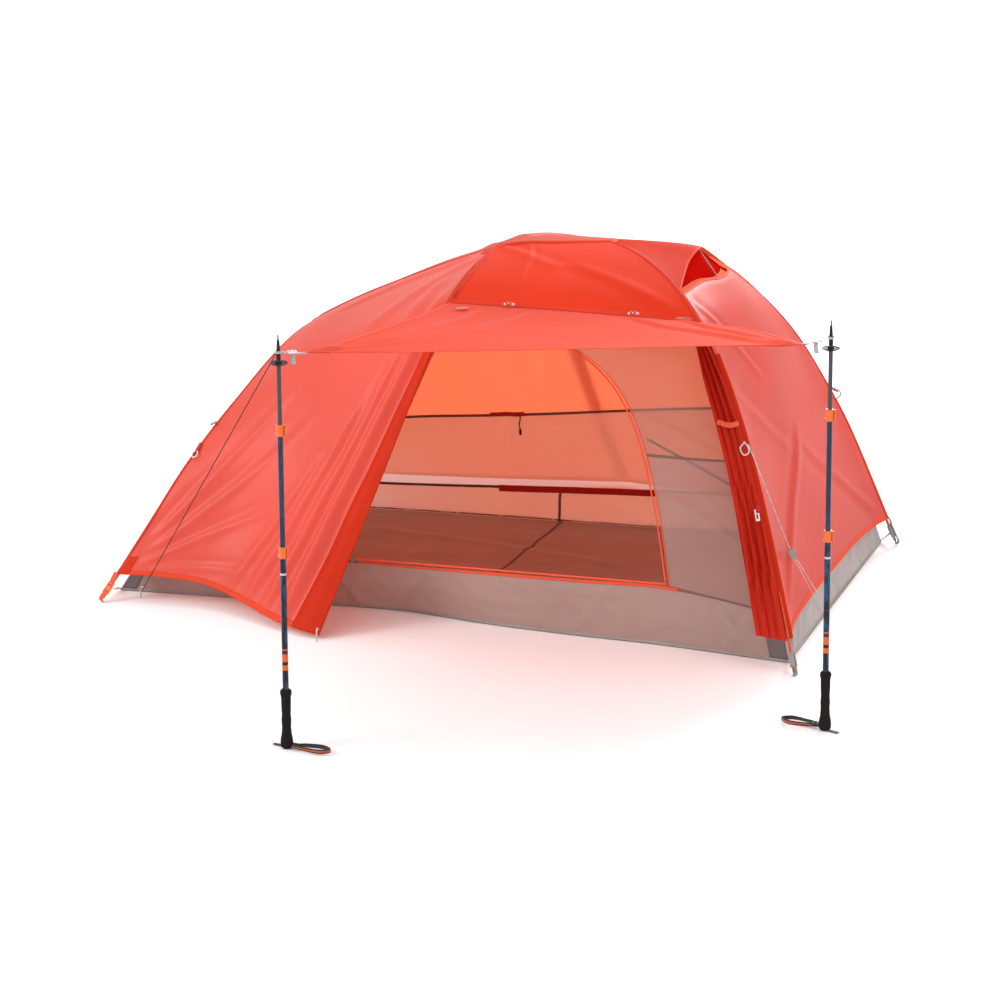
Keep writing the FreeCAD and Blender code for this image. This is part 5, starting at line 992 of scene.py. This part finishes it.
# awning straps to the two poles, each with a ladder adjuster
PX = {"left": (-0.0853, -1.8049), "right": (1.3609, -1.2239)}
for side_, aw in (("left", awnfront[0]), ("right", awnfront[-1])):
    x, y = PX[side_]
    dv = aw - np.array([x, y, aw[2]])
    dv /= np.linalg.norm(dv)
    ring = [np.array([x, y, 1.172]) + 0.0088 * np.array([math.cos(a), math.sin(a), 0]) for a in np.linspace(0, 2 * math.pi, 25)]
    nr = [np.array([math.cos(a), math.sin(a), 0]) for a in np.linspace(0, 2 * math.pi, 25)]
    ribbon("awning_grommet_" + side_, ring, 0.007, np.array(nr), M["grey_web"], thick=0.0018, n=80)
    a = np.array([x, y, 1.172]) + dv * 0.009
    L = np.linalg.norm(aw - a)
    ribbon("awning_strap_" + side_, [a, a + (aw - a) * 0.5 + (0, 0, -0.002), aw + dv * 0.02], 0.015, (0, 0, 1), M["grey_web"], thick=0.0016)
    side3 = np.cross(dv, [0, 0, 1.0])
    moulded("awning_adjuster_" + side_, a + (aw - a) * 0.55 + np.array([0, 0, 0.002]), dv, (0, 0, 1), (0.026, 0.021, 0.005), M["plastic_white"], holes=((-0.0065, 0.005, 0.015), (0.0055, 0.005, 0.015)))
    q = aw + dv * 0.012
    ribbon("awning_tail_" + side_, [a + (aw - a) * 0.6, a + (aw - a) * 0.6 + np.array([0, -0.004, -0.014]), a + (aw - a) * 0.6 + np.array([0.004, -0.006, -0.032])], 0.013, (0, -1, 0.2), M["grey_web"])

# ---------------------------------------------------------------- wrist straps
def wrist(tag, x, y, dirx, diry):
    u = np.array([dirx, diry, 0.0])
    u /= np.linalg.norm(u)
    n = np.array([-u[1], u[0], 0])
    b = np.array([x, y, 0]) + u * 0.017
    z = 0.0115
    P_ = [b + (0, 0, z), b + u * 0.040 + n * 0.014 + (0, 0, z), b + u * 0.092 + n * 0.020 + (0, 0, z), b + u * 0.122 + n * 0.002 + (0, 0, z), b + u * 0.100 - n * 0.020 + (0, 0, z), b + u * 0.048 - n * 0.018 + (0, 0, z), b + u * 0.008 - n * 0.012 + (0, 0, z)]
    P_ = np.array(P_)
    side_n = np.array([n, n * 0.9 + (0, 0, .3), n, u, -n + (0, 0, 0.2), -n, -n])
    o = ribbon("wrist_strap_" + tag, P_, 0.020, side_n, M["dark_web"], thick=0.0026, n=120, widths=[0.010, 0.012, 0.013, 0.012, 0.013, 0.011, 0.010])
    ribbon("wrist_lining_" + tag, P_ + side_n * 0.0019, 0.009, side_n, M["orange_line"], thick=0.0010, n=110, widths=[0.002, 0.003, 0.0045, 0.0045, 0.0045, 0.003, 0.002])
    ribbon("wrist_tail_" + tag, [b + (0, 0, 0.009), b - u * 0.030 + n * 0.006 + (0, 0, 0.004), b - u * 0.066 + n * 0.010 + (0, 0, 0.003)], 0.012, (0, 0, 1), M["dark_web"], thick=0.0018)
    moulded("wrist_buckle_" + tag, b + u * 0.012 + np.array([0, 0, 0.013]), u, (0, 0, 1), (0.026, 0.018, 0.006), M["black"], holes=((0.002, 0.006, 0.012),), ribs=2)
    return o
o = wrist("left", *PX["left"], 1, -0.15)
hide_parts("wrist_straps")
wrist("right", *PX["right"], -1, 0.25)

# ---------------------------------------------------------------- zips
zips = tape("zip_threshold", bath_near, M["zip_tape"], 0.355, 0.845, 0.0, 0.05, lift=0.0022, n=200)
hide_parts("zip_tracks")
thr = [th[0] + (th[1] - th[0]) * t + np.array([0, -0.001, 0.0085]) for t in np.linspace(0, 1, 7)]
ribbon("zip_teeth_threshold", thr, 0.0055, (0, -1, 0), M["zip"], thick=0.0028, n=60)
zc = np.concatenate([doorzip[1:-1] + A((-4, -1, 2)), th[1:] + A((-5, -1, 14))])
tubing("zip_teeth_door", zc, 0.0026, M["zip"], n=160, k=8)
zd = (zipfar[-1] - zipfar[0]) / np.linalg.norm(zipfar[-1] - zipfar[0])
zn = np.array([-0.15, 0.83, 0.53])
zn = zn - zd * (zn @ zd)
zn /= np.linalg.norm(zn)
ribbon("zip_teeth_far", [zipfar[0] + zd * 0.040 + zn * 0.011 + (zipfar[-1] - zd * 0.02 - zipfar[0] - zd * 0.04) * t for t in np.linspace(0, 1, 5)], 0.0055, zn, M["zip"], thick=0.003, n=60)
zb = zipfar[-1] - zd * 0.02 + zn * 0.011
za = zipfar[0] + zd * 0.04 + zn * 0.011
ribbon("zip_flap_far", [za + (zb - za) * t - zn * 0.004 for t in np.linspace(0, 1, 5)], 0.046, zn, M["fly_tape"], thick=0.0016, n=60)

# ---------------------------------------------------------------- CAD nodes kept, with their own finishes
def paint(mat, *names):
    for n in names:
        o = NODES[n]
        for i in range(len(o.material_slots)):
            o.material_slots[i].material = mat
        if not o.material_slots:
            o.data.materials.append(mat)
paint(M["tube"], "ridge_pole", "brow_pole", "leg_pole_head_near", "leg_pole_head_far", "leg_pole_foot_near", "leg_pole_foot_far")
paint(M["fitting"], "frame_connectors", "pole_tips")
paint(M["plastic_grey"], "pole_clips", "line_tensioner", "zip_slider_fly", "zip_slider_door")
paint(M["elastic"], "shock_cords")
paint(M["steel"], "ground_pegs")
paint(M["shaft_blue"], "shafts_upper")
paint(M["shaft_mid"], "shaft_middle_left", "shaft_middle_right")
paint(M["shaft_grey"], "shaft_lower_left", "shaft_lower_right")
paint(M["lock"], "clamps_lower", "clamp_upper_left", "clamp_upper_right")
paint(M["lever"], "lever_upper_left", "lever_upper_right", "lever_lower_left", "lever_lower_right")
paint(M["black"], "basket_left", "basket_right", "tip_left", "tip_right")
paint(M["foam"], "grips")

# a printed-on scale ring of each pole is part of the shaft finish; the collars get a screw
for side_, (x, y) in PX.items():
    for k, (z, body) in enumerate(((0.587, "tent"), (0.946, "pole_middle_" + side_))):
        tubing("lock_screw_%s_%d" % (side_, k), [(x - 0.0108, y - 0.004, z - 0.009), (x - 0.0128, y - 0.0045, z - 0.009), (x - 0.0132, y - 0.0046, z - 0.009)], [0.0026, 0.0026, 0.0015], M["steel"], n=8, k=14, body=body)

# ---------------------------------------------------------------- ground, light
def plane(name, size, z, mat):
    me = bpy.data.meshes.new(name)
    s = size / 2
    me.from_pydata([(-s, -s, z), (s, -s, z), (s, s, z), (-s, s, z)], [], [(0, 1, 2, 3)])
    me.materials.append(mat)
    o = bpy.data.objects.new(name, me)
    coll.objects.link(o)
    return o
gm, nd = mk("studio_floor")
nz = nd("ShaderNodeTexNoise", {"Scale": 0.6, "Detail": 2.0}).outputs[0]
nd("ShaderNodeOutputMaterial", {0: nd("ShaderNodeBsdfPrincipled", {"Base Color": mixc(nd, nz, (0.985, 0.985, 0.985, 1), (0.995, 0.995, 0.995, 1)), "Roughness": 0.9, "Specular IOR Level": 0.1}).outputs[0]})
ground = plane("studio_floor", 120.0, -0.0006, gm)

w = bpy.data.worlds.new("studio")
scene.world = w
w.use_nodes = True
w.node_tree.nodes["Background"].inputs[0].default_value = (1, 1, 1, 1)
w.node_tree.nodes["Background"].inputs[1].default_value = 1.0

def area(name, loc, target, size, energy, col=(1, 1, 1)):
    l = bpy.data.lights.new(name, "AREA")
    l.shape, l.size, l.energy, l.color = "DISK", size, energy, col
    o = bpy.data.objects.new(name, l)
    coll.objects.link(o)
    o.location = loc
    o.rotation_mode = "QUATERNION"
    o.rotation_quaternion = (Vector(target) - Vector(loc)).to_track_quat("-Z", "Y")
    return o
area("key_left", (-6.0, -5.5, 5.0), (-0.3, -0.3, 0.5), 3.5, 260)
area("fill_right", (6.5, -3.5, 4.2), (0.5, -0.2, 0.5), 3.0, 60)
area("top", (0.5, 0.5, 7.5), (0.2, 0, 0.8), 4.0, 40)
area("back", (1.0, 7.0, 4.0), (0.2, 0, 0.6), 4.0, 420)
